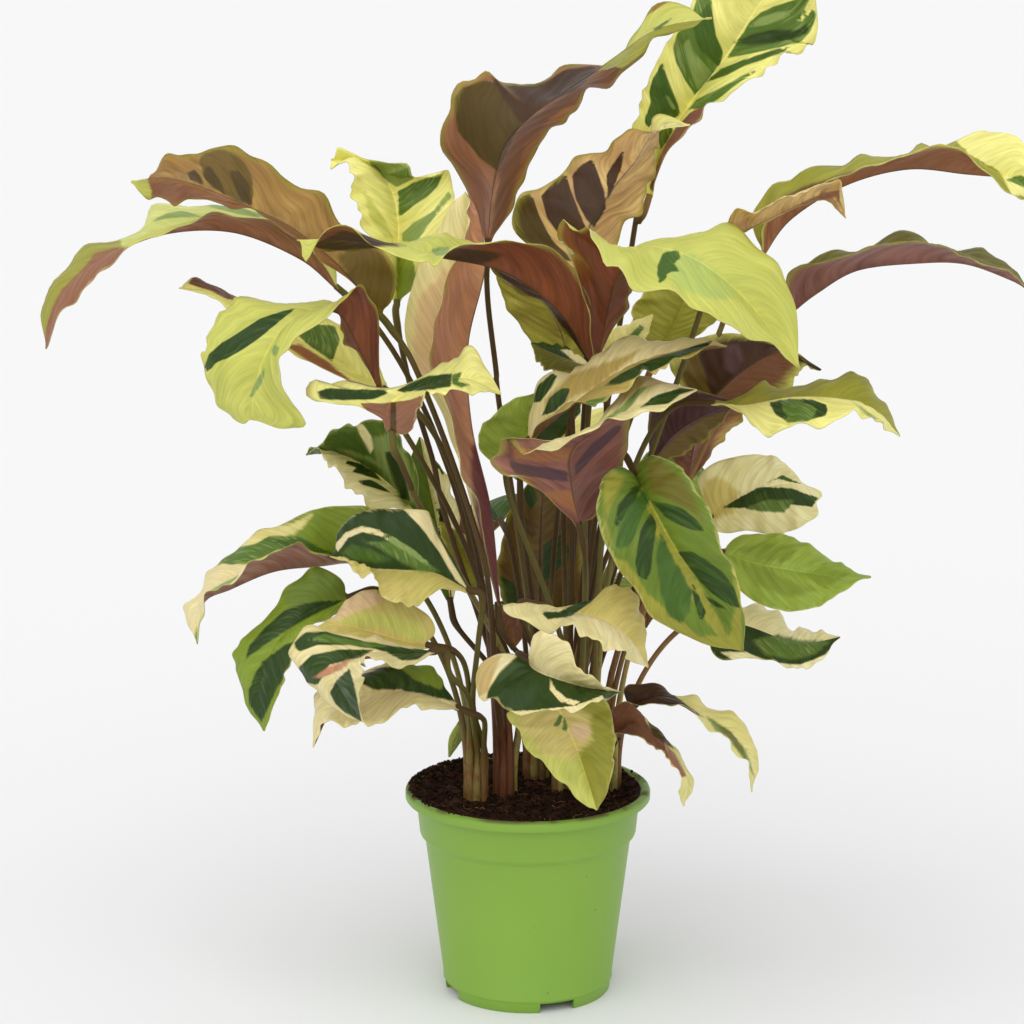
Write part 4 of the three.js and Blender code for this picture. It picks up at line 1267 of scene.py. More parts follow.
@dataclass(frozen=True)
class Pot:
    """The nursery pot: a skirted rim, a steep band, a tapered wall and a notched foot, in millimetres."""

    height: float = 145.0
    rim_radius: float = 85.0
    lip: float = 7.0
    rim_inner_radius: float = 80.5
    flare: float = 4.6
    band_top_radius: float = 77.8
    band_radius: float = 75.2
    band_bottom: float = 111.0
    band_step: float = 3.0
    wall_top_radius: float = 71.6
    foot_radius: float = 57.8
    foot_ring: float = 3.2
    wall: float = 1.8
    recess: float = 8.0
    notch_width: float = 25.0
    notch_height: float = 7.0
    notches: int = 4
    first_notch: float = math.radians(20.6 - 90)
    bead: float = 8.2
    segments: int = 144

    def outline(self) -> list[tuple[float, float]]:
        """Finds the pot's cut outline.

        Returns:
            Its points, [radius, height] in millimetres, from the middle of its underside round to its floor.
        """
        foot, top, band = self.foot_radius, self.wall_top_radius, self.band_radius
        rim, wall, height = self.rim_radius, self.wall, self.height
        inner, low, skirt = foot - self.foot_ring, height - self.lip, rim - wall
        step, step_top = self.band_bottom, self.band_bottom + self.band_step
        ledge, flare = height - wall, height - self.flare
        floor, bead = self.recess + wall, self.bead
        at = foot + (top - foot) * bead / step
        return [
            (0, self.recess), (inner - 1, self.recess), (inner, self.recess - 1), (inner, 0.4),
            (inner + 0.4, 0), (foot - 0.9, 0), (foot - 0.4, 0.5), (at - 0.4, bead), (at + 0.5, bead + 0.4),
            (at + 0.5, bead + 1.5), (at + 0.2, bead + 2.0), (top - 0.2, step - 2), (top + 0.5, step),
            (band - 0.4, step_top - 0.6), (band, step_top + 0.6), (self.band_top_radius, flare - wall / 2),
            (self.rim_inner_radius + wall / 2, ledge), (skirt - 0.6, ledge), (skirt, ledge - 0.6),
            (skirt, low + 0.5), (skirt + 0.5, low), (rim - 0.6, low), (rim, low + 0.8), (rim, height - 2.2),
            (rim - 0.5, height - 0.9), (rim - 1.8, height - 0.1), (rim - 3, height),
            (self.rim_inner_radius + 0.6, height), (self.rim_inner_radius - 0.2, height - 0.4),
            (self.band_top_radius - wall, flare), (band - wall, step_top), (top - wall, step),
            (foot - wall + 0.3, floor + 2), (foot - wall - 2, floor), (0, floor),
        ]

    def shell(self) -> bpy.types.Object:
        """Spins the pot and cuts the notches under its foot.

        Returns:
            The pot's piece, in the place of its node.
        """
        mesh = bmesh.new()
        spots = [mesh.verts.new((radius * MM, 0, z * MM)) for radius, z in self.outline()]
        edges = [mesh.edges.new(pair) for pair in zip(spots, spots[1:])]
        bmesh.ops.spin(
            mesh, geom=spots + edges, cent=(0, 0, 0), axis=(0, 0, 1), angle=2 * math.pi, steps=self.segments,
            use_merge=True,
        )
        bmesh.ops.remove_doubles(mesh, verts=mesh.verts[:], dist=1e-6)
        bmesh.ops.recalc_face_normals(mesh, faces=mesh.faces[:])
        cutter = bmesh.new()
        wide, high = self.notch_width * MM, 2 * self.notch_height * MM
        size = Matrix.Diagonal((3 * self.foot_ring * MM, wide, high, 1))
        for number in range(self.notches):
            turn = self.first_notch + 2 * math.pi * number / self.notches
            place = Matrix.Rotation(turn, 4, "Z") @ Matrix.Translation((self.foot_radius * MM, 0, 0))
            bmesh.ops.create_cube(cutter, size=1.0, matrix=place @ size)
        tool_mesh = bpy.data.meshes.new("notches")
        cutter.to_mesh(tool_mesh)
        cutter.free()
        tool = bpy.data.objects.new("notches", tool_mesh)
        bpy.context.scene.collection.objects.link(tool)
        piece = piece_of("pot_shell", mesh, "pot")
        cut = piece.modifiers.new("notches", "BOOLEAN")
        cut.operation, cut.solver, cut.object = "DIFFERENCE", "EXACT", tool
        bpy.context.view_layer.update()
        shaped = bpy.data.meshes.new_from_object(piece.evaluated_get(bpy.context.evaluated_depsgraph_get()))
        piece.modifiers.clear()
        piece.data = shaped
        bpy.data.objects.remove(tool)
        return piece

    def material(self, palette: Palette) -> bpy.types.Material:
        """Builds the pot's plastic, with soil smeared on the rim and specks on the wall.

        Args:
            palette: The shared node groups.

        Returns:
            The material.
        """
        finish = Finish("pot_plastic")
        w = finish.wiring
        place = w.place()
        height = w.add("ShaderNodeSeparateXYZ", {0: place}).outputs["Z"]
        grit = w.group(palette.grit, place=place, scale=45.0)
        colour = w.mix(w.noise(place, 9.0), Tone.APPLE_GREEN, Tone.APPLE_SHADE)
        dust = w.times(w.ramp(height, 0.1425, 0.1455), w.ramp(grit["Coarse"], 0.42, 0.6))
        colour = w.cover(colour, dust, 0.75, Tone.SOIL_LIGHT)
        specks = w.times(grit["Specks"], 0.35)
        colour = w.mix(w.times(specks, w.ramp(grit["Coarse"], 0.5, 0.6)), colour, Tone.SOIL_LIGHT)
        rough = w.plus(w.plus(0.36, w.times(grit["Coarse"], 0.12)), w.times(dust, 0.4))
        finish.set({"Base Color": colour, "Roughness": rough})
        finish.relief(grit["Fine"], 0.04, 0.5 * MM)
        return finish.material

    def build(self, palette: Palette) -> bpy.types.Object:
        """Builds and dresses the pot.

        Args:
            palette: The shared node groups.

        Returns:
            The finished piece.
        """
        piece = self.shell()
        piece.data.materials.clear()
        piece.data.materials.append(self.material(palette))
        piece.data.set_sharp_from_angle(angle=math.radians(50))
        return piece


# ------------------------------------------------------------------ studio


@dataclass(frozen=True)
class Studio:
    """The pale floor, the soft light and the camera."""

    floor_size: float = 120.0
    sky: float = 0.75
    lamps: tuple[tuple[str, float, float, float], ...] = (("key", 1.3, 42, -28), ("fill", 0.455, 62, 40))
    softness: float = math.radians(75)
    film: float = 36.0

    def build(self) -> None:
        """Sets up the floor, the light and the camera."""
        self.add_floor()
        self.add_light()
        self.add_camera()
        bpy.context.scene.view_settings.view_transform = "Standard"

    def add_floor(self) -> None:
        """Lays the floor, which isn't part of the object."""
        mesh = bmesh.new()
        bmesh.ops.create_grid(mesh, x_segments=1, y_segments=1, size=self.floor_size / 2)
        data = bpy.data.meshes.new("floor")
        mesh.to_mesh(data)
        mesh.free()
        floor = bpy.data.objects.new("floor", data)
        bpy.context.scene.collection.objects.link(floor)
        finish = Finish("floor", specular=0.1)
        finish.set({"Base Color": Tone.FLOOR, "Roughness": 0.9})
        data.materials.append(finish.material)

    def add_light(self) -> None:
        """Lights the scene from all round, and softly from the upper left in front."""
        world = bpy.data.worlds.new("sky")
        bpy.context.scene.world = world
        world.use_nodes = True
        sky = world.node_tree.nodes["Background"]
        sky.inputs["Color"].default_value = (1.0, 1.0, 1.0, 1.0)
        sky.inputs["Strength"].default_value = self.sky
        for name, strength, tilt, turn in self.lamps:
            data = bpy.data.lights.new(name, "SUN")
            data.energy, data.angle = strength, self.softness
            lamp = bpy.data.objects.new(name, data)
            aside = Matrix.Rotation(math.radians(turn), 4, "Z")
            lamp.matrix_world = aside @ Matrix.Rotation(math.radians(tilt), 4, "X")
            bpy.context.scene.collection.objects.link(lamp)

    def add_camera(self) -> None:
        """Puts the camera where the picture was taken from."""
        data = bpy.data.cameras.new("camera")
        data.sensor_fit = "HORIZONTAL"
        data.sensor_width = self.film
        data.lens = self.film * VIEW.focus / (2 * VIEW.centre)
        data.clip_end = 500.0
        camera = bpy.data.objects.new("camera", data)
        turn = Matrix.Rotation(math.pi / 2 - VIEW.pitch, 4, "X")
        camera.matrix_world = Matrix.Translation(Vector(VIEW.eye) * MM) @ turn
        bpy.context.scene.collection.objects.link(camera)
        bpy.context.scene.camera = camera


# ------------------------------------------------------------------ the plant


LEAVES = (
    Leaf(
        "far_left_arch", Clump.LEFT, 42, (-0.6, 1), "leaf_mauve",
        ((338, 288, -15), (300, 257, -20, 300, 236, 312, 232), (234, 231, -22, 232, 215, 238, 207),
            (165, 233, -20, 162, 229, 165, 205), (108, 256, -15, 104, 268, 98, 242),
            (64, 292, -10, 76, 303, 52, 285), (46, 349, -10)),
        left=Half(Tone.LIME, under=Tone.DUSKY), right=Half(Tone.PALE_LIME, under=Tone.DUSKY),
        left_edge=path(338,288, 322,262, 300,234, 272,220, 250,216, 215,216, 192,222, 165,231, 148,238,
            128,252, 105,267, 92,278, 85,292, 76,303, 62,308, 56,320, 52,333, 46,349),
        right_edge=path(338,288, 335,268, 312,232, 270,218, 240,209, 200,204, 158,207, 148,220, 143,232,
            118,241, 92,243, 75,262, 52,282, 43,305, 43,325, 46,349),
        marks=(
            Mark(Tone.OLIVE_LIME, path(118,236, 90,238, 70,258, 45,280, 36,305, 36,352, 60,352, 75,320,
                100,300, 128,258), feather=6),
            Mark(Tone.DUSKY, path(140,246, 118,248, 96,253, 82,270, 60,292, 52,310, 46,330, 44,352, 60,352,
                75,320, 100,300, 122,270, 150,248), Face.BOTH, feather=3),
            Mark(Tone.GREY_GREEN, path(196,203, 232,205, 275,219, 245,216, 222,210), feather=2),
            Mark(Tone.GREY_GREEN, path(148,224, 165,214, 182,211, 205,218, 185,217, 165,219), feather=2),
        ),
    ),
    Leaf(
        "upper_left_brown", Clump.LEFT, 42, (1, 0.5), "leaf_gold_brown",
        ((380, 315, -60), (340, 266, -68, 392, 262, 325, 262), (292, 228, -75, 332, 203, 284, 229),
            (241, 204, -78, 262, 158, 236, 211), (192, 184, -75, 205, 151, 190, 204),
            (160, 178, -72, 160, 164, 158, 196), (131, 182, -70)),
        via=((413, 363, -68), (446, 444, -72), (476, 532, -72), (489, 589, -60), (496, 690, -18)),
        left=Half(Tone.LIME, under=Tone.GOLD_BROWN), right=Half(Tone.LIME, under=Tone.ROSE_BROWN),
        left_edge=path(380,315, 392,300, 396,278, 388,255, 362,235, 345,226, 335,210, 322,194, 300,190,
            285,178, 270,163, 245,152, 215,147, 190,154, 165,159, 151,173, 146,182, 131,182),
        right_edge=path(380,315, 350,280, 325,262, 290,233, 262,216, 225,204, 188,200, 172,204, 158,198,
            148,199, 140,192, 131,182),
        marks=(
            Mark(Tone.OLIVE_BROWN, path(336,256, 360,243, 385,256, 396,275, 398,300, 385,314, 366,300,
                350,278), Face.UNDER, feather=8),
            Mark(Tone.DUSKY, path(150,183, 175,184, 215,200, 270,218, 320,250, 300,245, 240,215, 180,205,
                150,200), Face.UNDER, feather=4),
            Mark(Tone.OLIVE_BROWN, path(199,160, 205,152, 218,149, 232,153, 244,164, 252,178, 254,195,
                251,206, 235,200, 215,189, 204,178), Face.UNDER, feather=2),
            Mark(Tone.DARK_OLIVE, path(203,168, 211,167, 221,183, 226,196, 214,189, 205,179), Face.UNDER,
                feather=3),
            Mark(Tone.DARK_OLIVE, path(229,170, 238,171, 250,184, 252,205, 242,201, 234,186), Face.UNDER,
                feather=3),
            Mark(Tone.DARK_OLIVE, path(187,173, 195,170, 201,178, 204,185, 190,180), Face.UNDER, feather=2),
            Mark(Tone.LIME, path(120,174, 147,178, 152,192, 150,205, 120,205), Face.BOTH),
        ),
    ),
    Leaf(
        "left_lime_droop", Clump.LEFT, 46, (-0.5, 1), "leaf_lime",
        ((380, 388, -75), (362, 352, -88, 381, 325, 350, 345), (338, 312, -100, 355, 288, 328, 322),
            (295, 318, -112, 302, 332, 273, 302), (266, 355, -118, 286, 375, 205, 352),
            (254, 395, -114, 306, 424, 218, 402), (252, 420, -108)),
        left=Half(Tone.LIME, under=Tone.RED_BROWN),
        left_edge=path(380,388, 379,350, 378,318, 368,291, 356,286, 330,318, 302,332, 285,348, 281,372,
            290,402, 306,425, 280,427, 252,420),
        right_edge=path(380,388, 362,362, 350,345, 337,318, 325,303, 300,305, 273,301, 238,299, 231,309,
            220,313, 215,327, 207,337, 207,350, 199,353, 203,370, 217,398, 233,419, 248,425, 252,420),
        marks=(
            Mark(Tone.DARK_GREEN, path(297,308, 281,312, 260,319, 240,332, 222,343, 209,354, 203,371, 209,372,
                216,363, 228,358, 246,348, 261,337, 279,322), feather=1),
            Mark(Tone.GREY_GREEN, path(271,352, 275,345, 280,347, 276,357), feather=2),
            Mark(Tone.GREY_GREEN, path(266,367, 257,379, 249,397, 253,397, 263,381), feather=2),
        ),
    ),
    Leaf(
        "left_yellow", Clump.LEFT, 36, (-0.3, 1), "leaf_yellow",
        ((385, 389, -35), (345, 366, -32, 335, 375, 385, 335), (300, 340, -28, 285, 348, 330, 305),
            (250, 310, -25, 240, 322, 262, 293), (215, 292, -22, 212, 297, 213, 285), (179, 288, -20)),
        left=Half(Tone.YELLOW, under=Tone.ROSE_BROWN),
        right_edge=path(388,390, 372,350, 350,330, 320,318, 290,312, 262,308, 240,306, 230,300, 218,292,
            205,284, 193,279, 184,284, 178,290),
        marks=(
            Mark(Tone.MID_GREEN, path(293,331, 310,324, 335,326, 340,340, 336,352, 332,362, 318,352, 306,343),
                feather=2),
            Mark(Tone.ROSE_BROWN, path(285,346, 300,344, 325,360, 352,382, 340,385, 315,366), feather=4),
            Mark(Tone.PURPLE_BROWN, path(188,284, 194,276, 208,276, 224,284, 242,300, 228,300, 210,291),
                Face.BOTH, feather=2),
        ),
    ),
    Leaf(
        "upper_yellow", Clump.LEFT, 40, (-1, -1), "leaf_yellow",
        ((397, 302, 15), (398, 262, 20, 372, 262, 421, 262), (398, 222, 25, 362, 225, 450, 215),
            (391, 190, 28, 352, 192, 448, 178), (372, 163, 25, 347, 170, 410, 170), (331, 160, 18)),
        via=((410, 385, 12), (433, 461, 8), (447, 522, 4)),
        left=Half(Tone.YELLOW, under=Tone.OLIVE),
        left_edge=path(397,302, 380,285, 370,240, 362,222, 361,214, 355,206, 352,182, 351,168, 345,160,
            331,170, 331,160),
        right_edge=path(397,302, 416,285, 422,262, 446,238, 455,215, 453,190, 448,169, 438,176, 413,178,
            406,166, 385,159, 366,159, 350,152, 334,146, 331,160),
        marks=(
            Mark(Tone.MID_GREEN, path(398,191, 413,183, 427,178, 443,173, 437,187, 427,197, 413,206, 399,218),
                feather=2),
            Mark(Tone.GREY_GREEN, path(402,234, 413,223, 433,211, 452,187, 452,197, 443,207, 427,227, 418,241,
                402,242), feather=2),
            Mark(Tone.GREY_GREEN, path(366,158, 385,160, 411,164, 414,179, 396,187, 386,180), feather=2),
            Mark(Tone.MID_GREEN, path(386,174, 396,172, 411,166, 413,178, 400,178), feather=2),
            Mark(Tone.LIME, path(362,188, 372,200, 385,222, 393,238, 385,238, 370,220), feather=5),
            Mark(Tone.LIME_GREEN, path(396,250, 412,255, 418,280, 408,300, 396,300)),
        ),
    ),
    Leaf(
        "left_back_dark", Clump.LEFT, 40, (-1, -1), "leaf_dark_green",
        ((420, 518, 20), (396, 490, 22, 374, 508, 410, 455), (365, 466, 25, 348, 485, 372, 427),
            (335, 453, 22, 328, 461, 330, 436), (306, 455, 15)),
        left=Half(Tone.PALE_CREAM), right=Half(Tone.MID_GREEN),
        left_edge=path(420,518, 402,510, 380,508, 368,507, 360,497, 350,487, 335,470, 320,452, 314,450,
            306,455),
        right_edge=path(420,518, 418,490, 412,458, 395,432, 372,418, 352,426, 335,431, 324,437, 318,447,
            310,448, 306,455),
        marks=(
            Mark(Tone.PALE_CREAM, path(353,418, 363,424, 372,437, 374,447, 371,454, 366,445, 359,433),
                feather=2),
            Mark(Tone.GREY_GREEN, path(372,438, 390,432, 408,458, 418,500, 404,508, 390,480, 377,462),
                feather=9),
            Mark(Tone.DARK_GREEN, path(347,461, 362,464, 374,471, 382,481, 368,477, 352,472, 356,468,
                345,464), feather=1),
            Mark(Tone.DARK_GREEN, path(357,481, 370,480, 382,486, 390,493, 376,489, 362,485), feather=1),
            Mark(Tone.DEEP_GREEN, path(322,441, 340,432, 358,432, 368,456, 350,452, 332,447), feather=5),
            Mark(Tone.DARK_GREEN, path(385,452, 398,450, 404,470, 410,500, 402,500, 393,480), feather=4),
            Mark(Tone.GREY_GREEN, path(335,448, 352,450, 372,458, 390,472, 370,462, 350,455)),
        ),
    ),
    Leaf(
        "left_yellow_edge", Clump.LEFT, 40, (0.4, -0.6), "leaf_yellow",
        ((392, 433, -108), (390, 404, -112, 315, 393, 418, 410), (430, 385, -118, 440, 367, 432, 393),
            (465, 378, -118, 471, 346, 468, 392), (501, 394, -116)),
        via=((400, 461, -98), (411, 486, -84), (421, 508, -72)),
        left=Half(Tone.YELLOW, under=Tone.DUSKY),
        left_edge=path(392,433, 378,415, 345,401, 318,401, 305,393, 314,378, 330,383, 345,380, 380,388,
            405,384, 440,367, 456,357, 471,346, 488,370, 501,394),
        right_edge=path(392,433, 408,433, 418,415, 422,400, 430,394, 450,391, 468,393, 485,392, 501,394),
        marks=(
            Mark(Tone.DUSKY, path(360,403, 385,403, 410,400, 424,395, 420,412, 410,436, 390,440, 376,420),
                Face.BOTH, feather=1),
            Mark(Tone.STALK_DARK, path(391,402, 396,402, 397,440, 390,440), Face.BOTH, feather=1),
            Mark(Tone.DARK_GREEN, path(315,392, 330,388, 385,390, 388,393, 375,399, 345,400, 320,399),
                feather=2),
            Mark(Tone.DARK_GREEN, path(396,391, 410,383, 430,376, 452,374, 451,387, 430,390, 405,392),
                feather=2),
            Mark(Tone.MID_GREEN, path(452,375, 462,372, 458,382, 470,385, 462,388, 452,384), feather=2),
        ),
    ),
    Leaf(
        "left_mid_dark", Clump.LEFT_FRONT, 40, (-1, 0.6), "leaf_dark_green",
        ((468, 590, -75), (435, 573, -85, 430, 598, 440, 530), (400, 570, -92, 400, 606, 404, 513),
            (368, 568, -95, 372, 590, 360, 515), (345, 560, -92, 355, 572, 337, 538), (330, 556, -88)),
        via=((478, 645, -58), (473, 705, -26)),
        left=Half(Tone.STRAW), right=Half(Tone.DARK_GREEN),
        left_edge=path(468,590, 455,590, 440,590, 425,600, 408,606, 393,603, 380,590, 372,577, 358,572,
            345,563, 330,556),
        right_edge=path(468,590, 462,575, 452,558, 440,538, 432,518, 425,510, 400,509, 375,509, 358,513,
            345,521, 337,535, 335,550, 330,556),
        marks=(
            Mark(Tone.CREAM, path(400,506, 428,508, 434,528, 448,555, 468,590, 455,580, 440,553, 420,526),
                feather=2),
            Mark(Tone.CREAM, path(334,546, 345,533, 362,526, 380,530, 398,546, 380,536, 362,532, 348,538,
                338,552), feather=1.5),
            Mark(Tone.MID_GREEN, path(362,541, 392,542, 412,552, 440,572, 420,572, 398,560, 378,548),
                feather=6),
            Mark(Tone.GREY_GREEN, path(380,531, 396,538, 414,550, 434,567, 424,564, 406,552, 390,542),
                feather=1.5),
            Mark(Tone.DEEP_GREEN, path(342,553, 352,545, 372,549, 392,560, 378,563, 356,560), feather=7),
        ),
    ),
    Leaf(
        "left_arch", Clump.LEFT_FRONT, 38, (-1, 1), "leaf_mauve",
        ((360, 562, -25), (323, 565, -30, 323, 553, 325, 508), (275, 570, -32, 282, 547, 278, 524),
            (231, 588, -32, 240, 575, 225, 552), (203, 603, -30, 206, 600, 192, 603), (197, 644, -28)),
        left=Half(Tone.LIME, under=Tone.DUSKY), right=Half(Tone.LIME_GREEN, under=Tone.DUSKY),
        right_edge=path(360,562, 355,535, 372,509, 340,507, 318,508, 300,515, 285,522, 265,530, 245,542,
            230,553, 218,562, 208,578, 203,592, 190,600, 183,606, 188,622, 194,635, 197,644),
        marks=(
            Mark(Tone.PALE_YELLOW, path(235,545, 262,528, 290,525, 315,512, 300,530, 278,540, 255,548,
                232,552), feather=7),
            Mark(Tone.CREAM, path(180,605, 205,570, 225,563, 258,566, 240,585, 215,592, 200,620, 190,650)),
            Mark(Tone.MID_GREEN, path(213,562, 222,553, 240,547, 256,544, 270,536, 300,537, 325,548, 300,547,
                280,550, 256,560, 232,565), feather=2),
            Mark(Tone.DEEP_GREEN, path(268,541, 300,539, 330,552, 345,558, 320,554, 295,547), feather=2),
            Mark(Tone.GREY_GREEN, path(205,594, 222,584, 240,575, 228,586, 212,598), feather=2),
        ),
    ),
    Leaf(
        "left_hanging_green", Clump.LEFT_FRONT, 38, (-0.5, 0.5), "leaf_mid_green",
        ((349, 597, -55), (310, 612, -60, 322, 627, 300, 575), (275, 645, -66, 292, 642, 245, 635),
            (259, 685, -68, 280, 683, 238, 680), (264, 731, -66)),
        left=Half(Tone.LIME_GREEN),
        left_edge=path(349,597, 345,610, 330,618, 310,625, 298,645, 288,672, 275,700, 270,718, 264,731),
        right_edge=path(349,597, 340,578, 315,566, 300,578, 285,590, 275,608, 262,620, 248,632, 235,655,
            237,678, 245,695, 248,708, 258,722, 264,731),
        marks=(
            Mark(Tone.LEAF_GREEN, path(282,592, 300,574, 320,564, 345,580, 350,598, 320,602, 290,612),
                feather=12),
            Mark(Tone.DARK_GREEN, path(265,628, 285,610, 310,602, 345,600, 320,612, 295,625, 270,642, 245,660,
                250,645), feather=3),
            Mark(Tone.LIME_GREEN, path(240,680, 260,652, 290,635, 315,618, 300,640, 270,662, 250,690),
                feather=3),
            Mark(Tone.DARK_GREEN, path(248,690, 262,662, 285,645, 300,640, 290,665, 272,700, 262,722,
                250,705), feather=3),
        ),
    ),
    Leaf(
        "front_left_striped", Clump.LEFT_FRONT, 40, (-1, 0.7), "leaf_cream",
        ((432, 652, -105), (398, 655, -125, 400, 667, 392, 644), (360, 658, -140, 365, 664, 362, 636),
            (333, 668, -148, 364, 664, 291, 648), (342, 692, -148, 361, 685, 318, 690), (363, 722, -142)),
        via=((450, 674, -85), (468, 697, -52)),
        left=Half(Tone.CREAM, under=Tone.ROSE_BROWN),
        left_edge=path(432,652, 420,662, 405,668, 395,664, 380,660, 366,662, 364,672, 360,690, 362,722),
        right_edge=path(432,652, 415,648, 392,642, 362,636, 330,630, 308,628, 291,648, 292,662, 300,675,
            318,690, 335,708, 350,718, 363,722),
        marks=(
            Mark(Tone.DARK_GREEN, path(292,645, 305,633, 325,632, 350,638, 372,643, 410,649, 432,650, 418,660,
                402,661, 385,652, 350,645, 318,645, 300,652), feather=2),
            Mark(Tone.DARK_GREEN, path(298,668, 312,655, 340,650, 375,650, 360,658, 330,665, 318,685,
                305,682), feather=2),
            Mark(Tone.DARK_GREEN, path(330,692, 337,680, 350,668, 356,690, 362,722, 345,712, 335,703),
                feather=2),
            Mark(Tone.MID_GREEN, path(303,640, 325,634, 350,640, 390,647, 372,648, 340,644), feather=2),
            Mark(Tone.PINK_BROWN, path(312,678, 330,666, 352,659, 345,668, 322,678), feather=4),
        ),
    ),
    Leaf(
        "front_left_pale", Clump.LEFT_FRONT, 38, (-0.3, 0.3), "leaf_cream",
        ((428, 645, -80), (400, 640, -86, 395, 650, 405, 607), (365, 630, -92, 360, 642, 370, 592),
            (340, 625, -92, 338, 635, 340, 608), (316, 628, -90)),
        left=Half(Tone.STRAW),
        right_edge=path(428,645, 435,630, 428,615, 408,602, 385,591, 362,591, 345,602, 335,615, 316,628),
        marks=(
            Mark(Tone.PINK_CREAM, path(325,620, 340,596, 362,588, 385,594, 380,604, 355,612, 340,625),
                feather=5),
            Mark(Tone.LIME, path(330,622, 352,615, 385,612, 418,622, 426,640, 410,640, 385,628), feather=9),
        ),
    ),
    Leaf(
        "lower_left_cream", Clump.LEFT_FRONT, 40, (-1, 0.8), "leaf_cream",
        ((458, 708, -70), (415, 692, -80, 412, 706, 430, 668), (372, 694, -90, 368, 724, 385, 665),
            (335, 705, -92, 335, 725, 320, 692), (313, 747, -85)),
        left=Half(Tone.CREAM),
        left_edge=path(458,708, 440,710, 415,705, 395,715, 370,724, 345,725, 328,722, 318,735, 313,747),
        marks=(
            Mark(Tone.DARK_GREEN, path(359,676, 380,668, 420,664, 450,685, 458,703, 430,696, 400,690, 375,690,
                362,684), feather=3),
            Mark(Tone.LIME_GREEN, path(395,665, 430,662, 448,680, 440,690, 415,680)),
        ),
    ),
    Leaf(
        "small_at_soil", Clump.LEFT_FRONT, 10, (0, 0), "leaf_lime",
        ((462, 722, 28), (456, 738, 30, 463, 738, 449, 738), (449, 757, 30)),
        left=Half(Tone.GREY_GREEN), right=Half(Tone.PALE_GREEN),
    ),
    Leaf(
        "rolled_cream", Clump.FRONT, 44, (0.2, -1), "leaf_cream",
        ((498, 605, -50), (489, 510, -52, 473, 512, 476, 508), (470, 425, -45, 447, 425, 452, 430),
            (467, 345, -35, 407, 343, 431, 340), (484, 268, -25, 414, 280, 452, 272),
            (477, 215, -15, 447, 212, 470, 215), (465, 192, -10)),
        left=Half(Tone.CREAM, under=Tone.PINK_BROWN),
        marks=(
            Mark(Tone.PINK_CREAM, path(418,300, 440,275, 452,262, 440,330, 432,400, 440,470, 424,430,
                410,380), feather=9),
            Mark(Tone.WINE, path(478,400, 470,470, 482,560, 496,620, 505,600, 500,520, 484,420), Face.BOTH,
                feather=8),
        ),
    ),
    Leaf(
        "lower_centre_cream", Clump.FRONT, 36, (0.8, -1), "leaf_cream",
        ((545, 606, -95), (575, 612, -105, 590, 602, 551, 631), (608, 622, -112, 622, 585, 592, 640),
            (632, 642, -112, 642, 617, 620, 655), (648, 667, -105)),
        left=Half(Tone.STRAW), right=Half(Tone.CREAM),
        left_edge=path(545,606, 565,612, 590,602, 610,587, 625,586, 638,600, 643,618, 645,640, 648,667),
        right_edge=path(545,606, 530,610, 520,611, 502,608, 512,619, 530,622, 551,631, 572,627, 592,640,
            606,648, 620,652, 634,662, 648,667),
        marks=(
            Mark(Tone.DARK_GREEN, path(540,612, 560,612, 590,595, 600,588, 592,602, 570,617, 548,620),
                feather=2),
        ),
    ),
    Leaf(
        "lower_dark_fold", Clump.FRONT, 36, (-0.5, -1), "leaf_dark_green",
        ((528, 664, -112), (535, 670, -122, 540, 640, 478, 690), (548, 676, -132, 552, 633, 515, 712),
            (580, 686, -135, 577, 662, 562, 714), (602, 690, -135, 600, 682, 598, 703), (620, 692, -130)),
        left=Half(Tone.CREAM), right=Half(Tone.DARK_GREEN),
        left_edge=path(528,664, 532,648, 534,634, 545,630, 562,640, 572,652, 580,668, 598,682, 620,692),
        right_edge=path(528,664, 515,655, 498,655, 482,663, 475,678, 478,695, 485,703, 495,700, 505,709,
            520,713, 545,712, 562,710, 580,708, 598,703, 620,692),
        marks=(
            Mark(Tone.CREAM, path(470,650, 518,655, 500,672, 488,690, 486,705, 465,700)),
            Mark(Tone.TAN, path(474,700, 472,672, 484,658, 502,655, 494,670, 488,692), feather=5),
            Mark(Tone.CREAM, path(488,697, 505,712, 540,710, 575,706, 602,696, 605,702, 575,714, 530,718,
                500,716, 484,700), feather=1.5),
            Mark(Tone.CREAM, path(550,678, 556,690, 566,698, 580,702, 574,706, 560,702, 550,690),
                feather=1.5),
        ),
    ),
    Leaf(
        "front_bottom_pale", Clump.FRONT, 40, (-0.3, -0.3), "leaf_lime",
        ((553, 690, -84), (560, 712, -90, 612, 702, 509, 713), (574, 742, -92, 615, 740, 527, 746),
            (586, 775, -92, 612, 772, 560, 778), (597, 810, -90)),
        left=Half(Tone.OLIVE_LIME), right=Half(Tone.LIME),
        left_edge=path(553,690, 580,695, 603,698, 611,712, 615,735, 614,755, 612,775, 606,795, 597,810),
        right_edge=path(553,690, 530,705, 508,712, 510,722, 520,731, 524,745, 532,755, 543,761, 548,768,
            557,780, 568,786, 575,797, 588,807, 597,810),
        marks=(
            Mark(Tone.STRAW, path(515,712, 560,705, 590,714, 592,740, 570,762, 545,755, 525,735), feather=12),
            Mark(Tone.PINK_CREAM, path(572,724, 584,722, 592,732, 583,742, 572,736), feather=5),
            Mark(Tone.MID_GREEN, path(553,726, 560,714, 563,716, 559,727), feather=1.5),
            Mark(Tone.MID_GREEN, path(562,730, 564,716, 568,728, 566,732), feather=1.5),
        ),
    ),
    Leaf(
        "long_purple", Clump.FRONT, 34, (-1, 1), "leaf_purple_brown",
        ((593, 364, -40), (561, 312, -70, 592, 300, 555, 318), (505, 271, -98, 530, 240, 500, 275),
            (444, 257, -115, 447, 250, 455, 234), (412, 252, -124, 418, 263, 415, 243),
            (350, 240, -128, 352, 227, 345, 253), (297, 240, -122)),
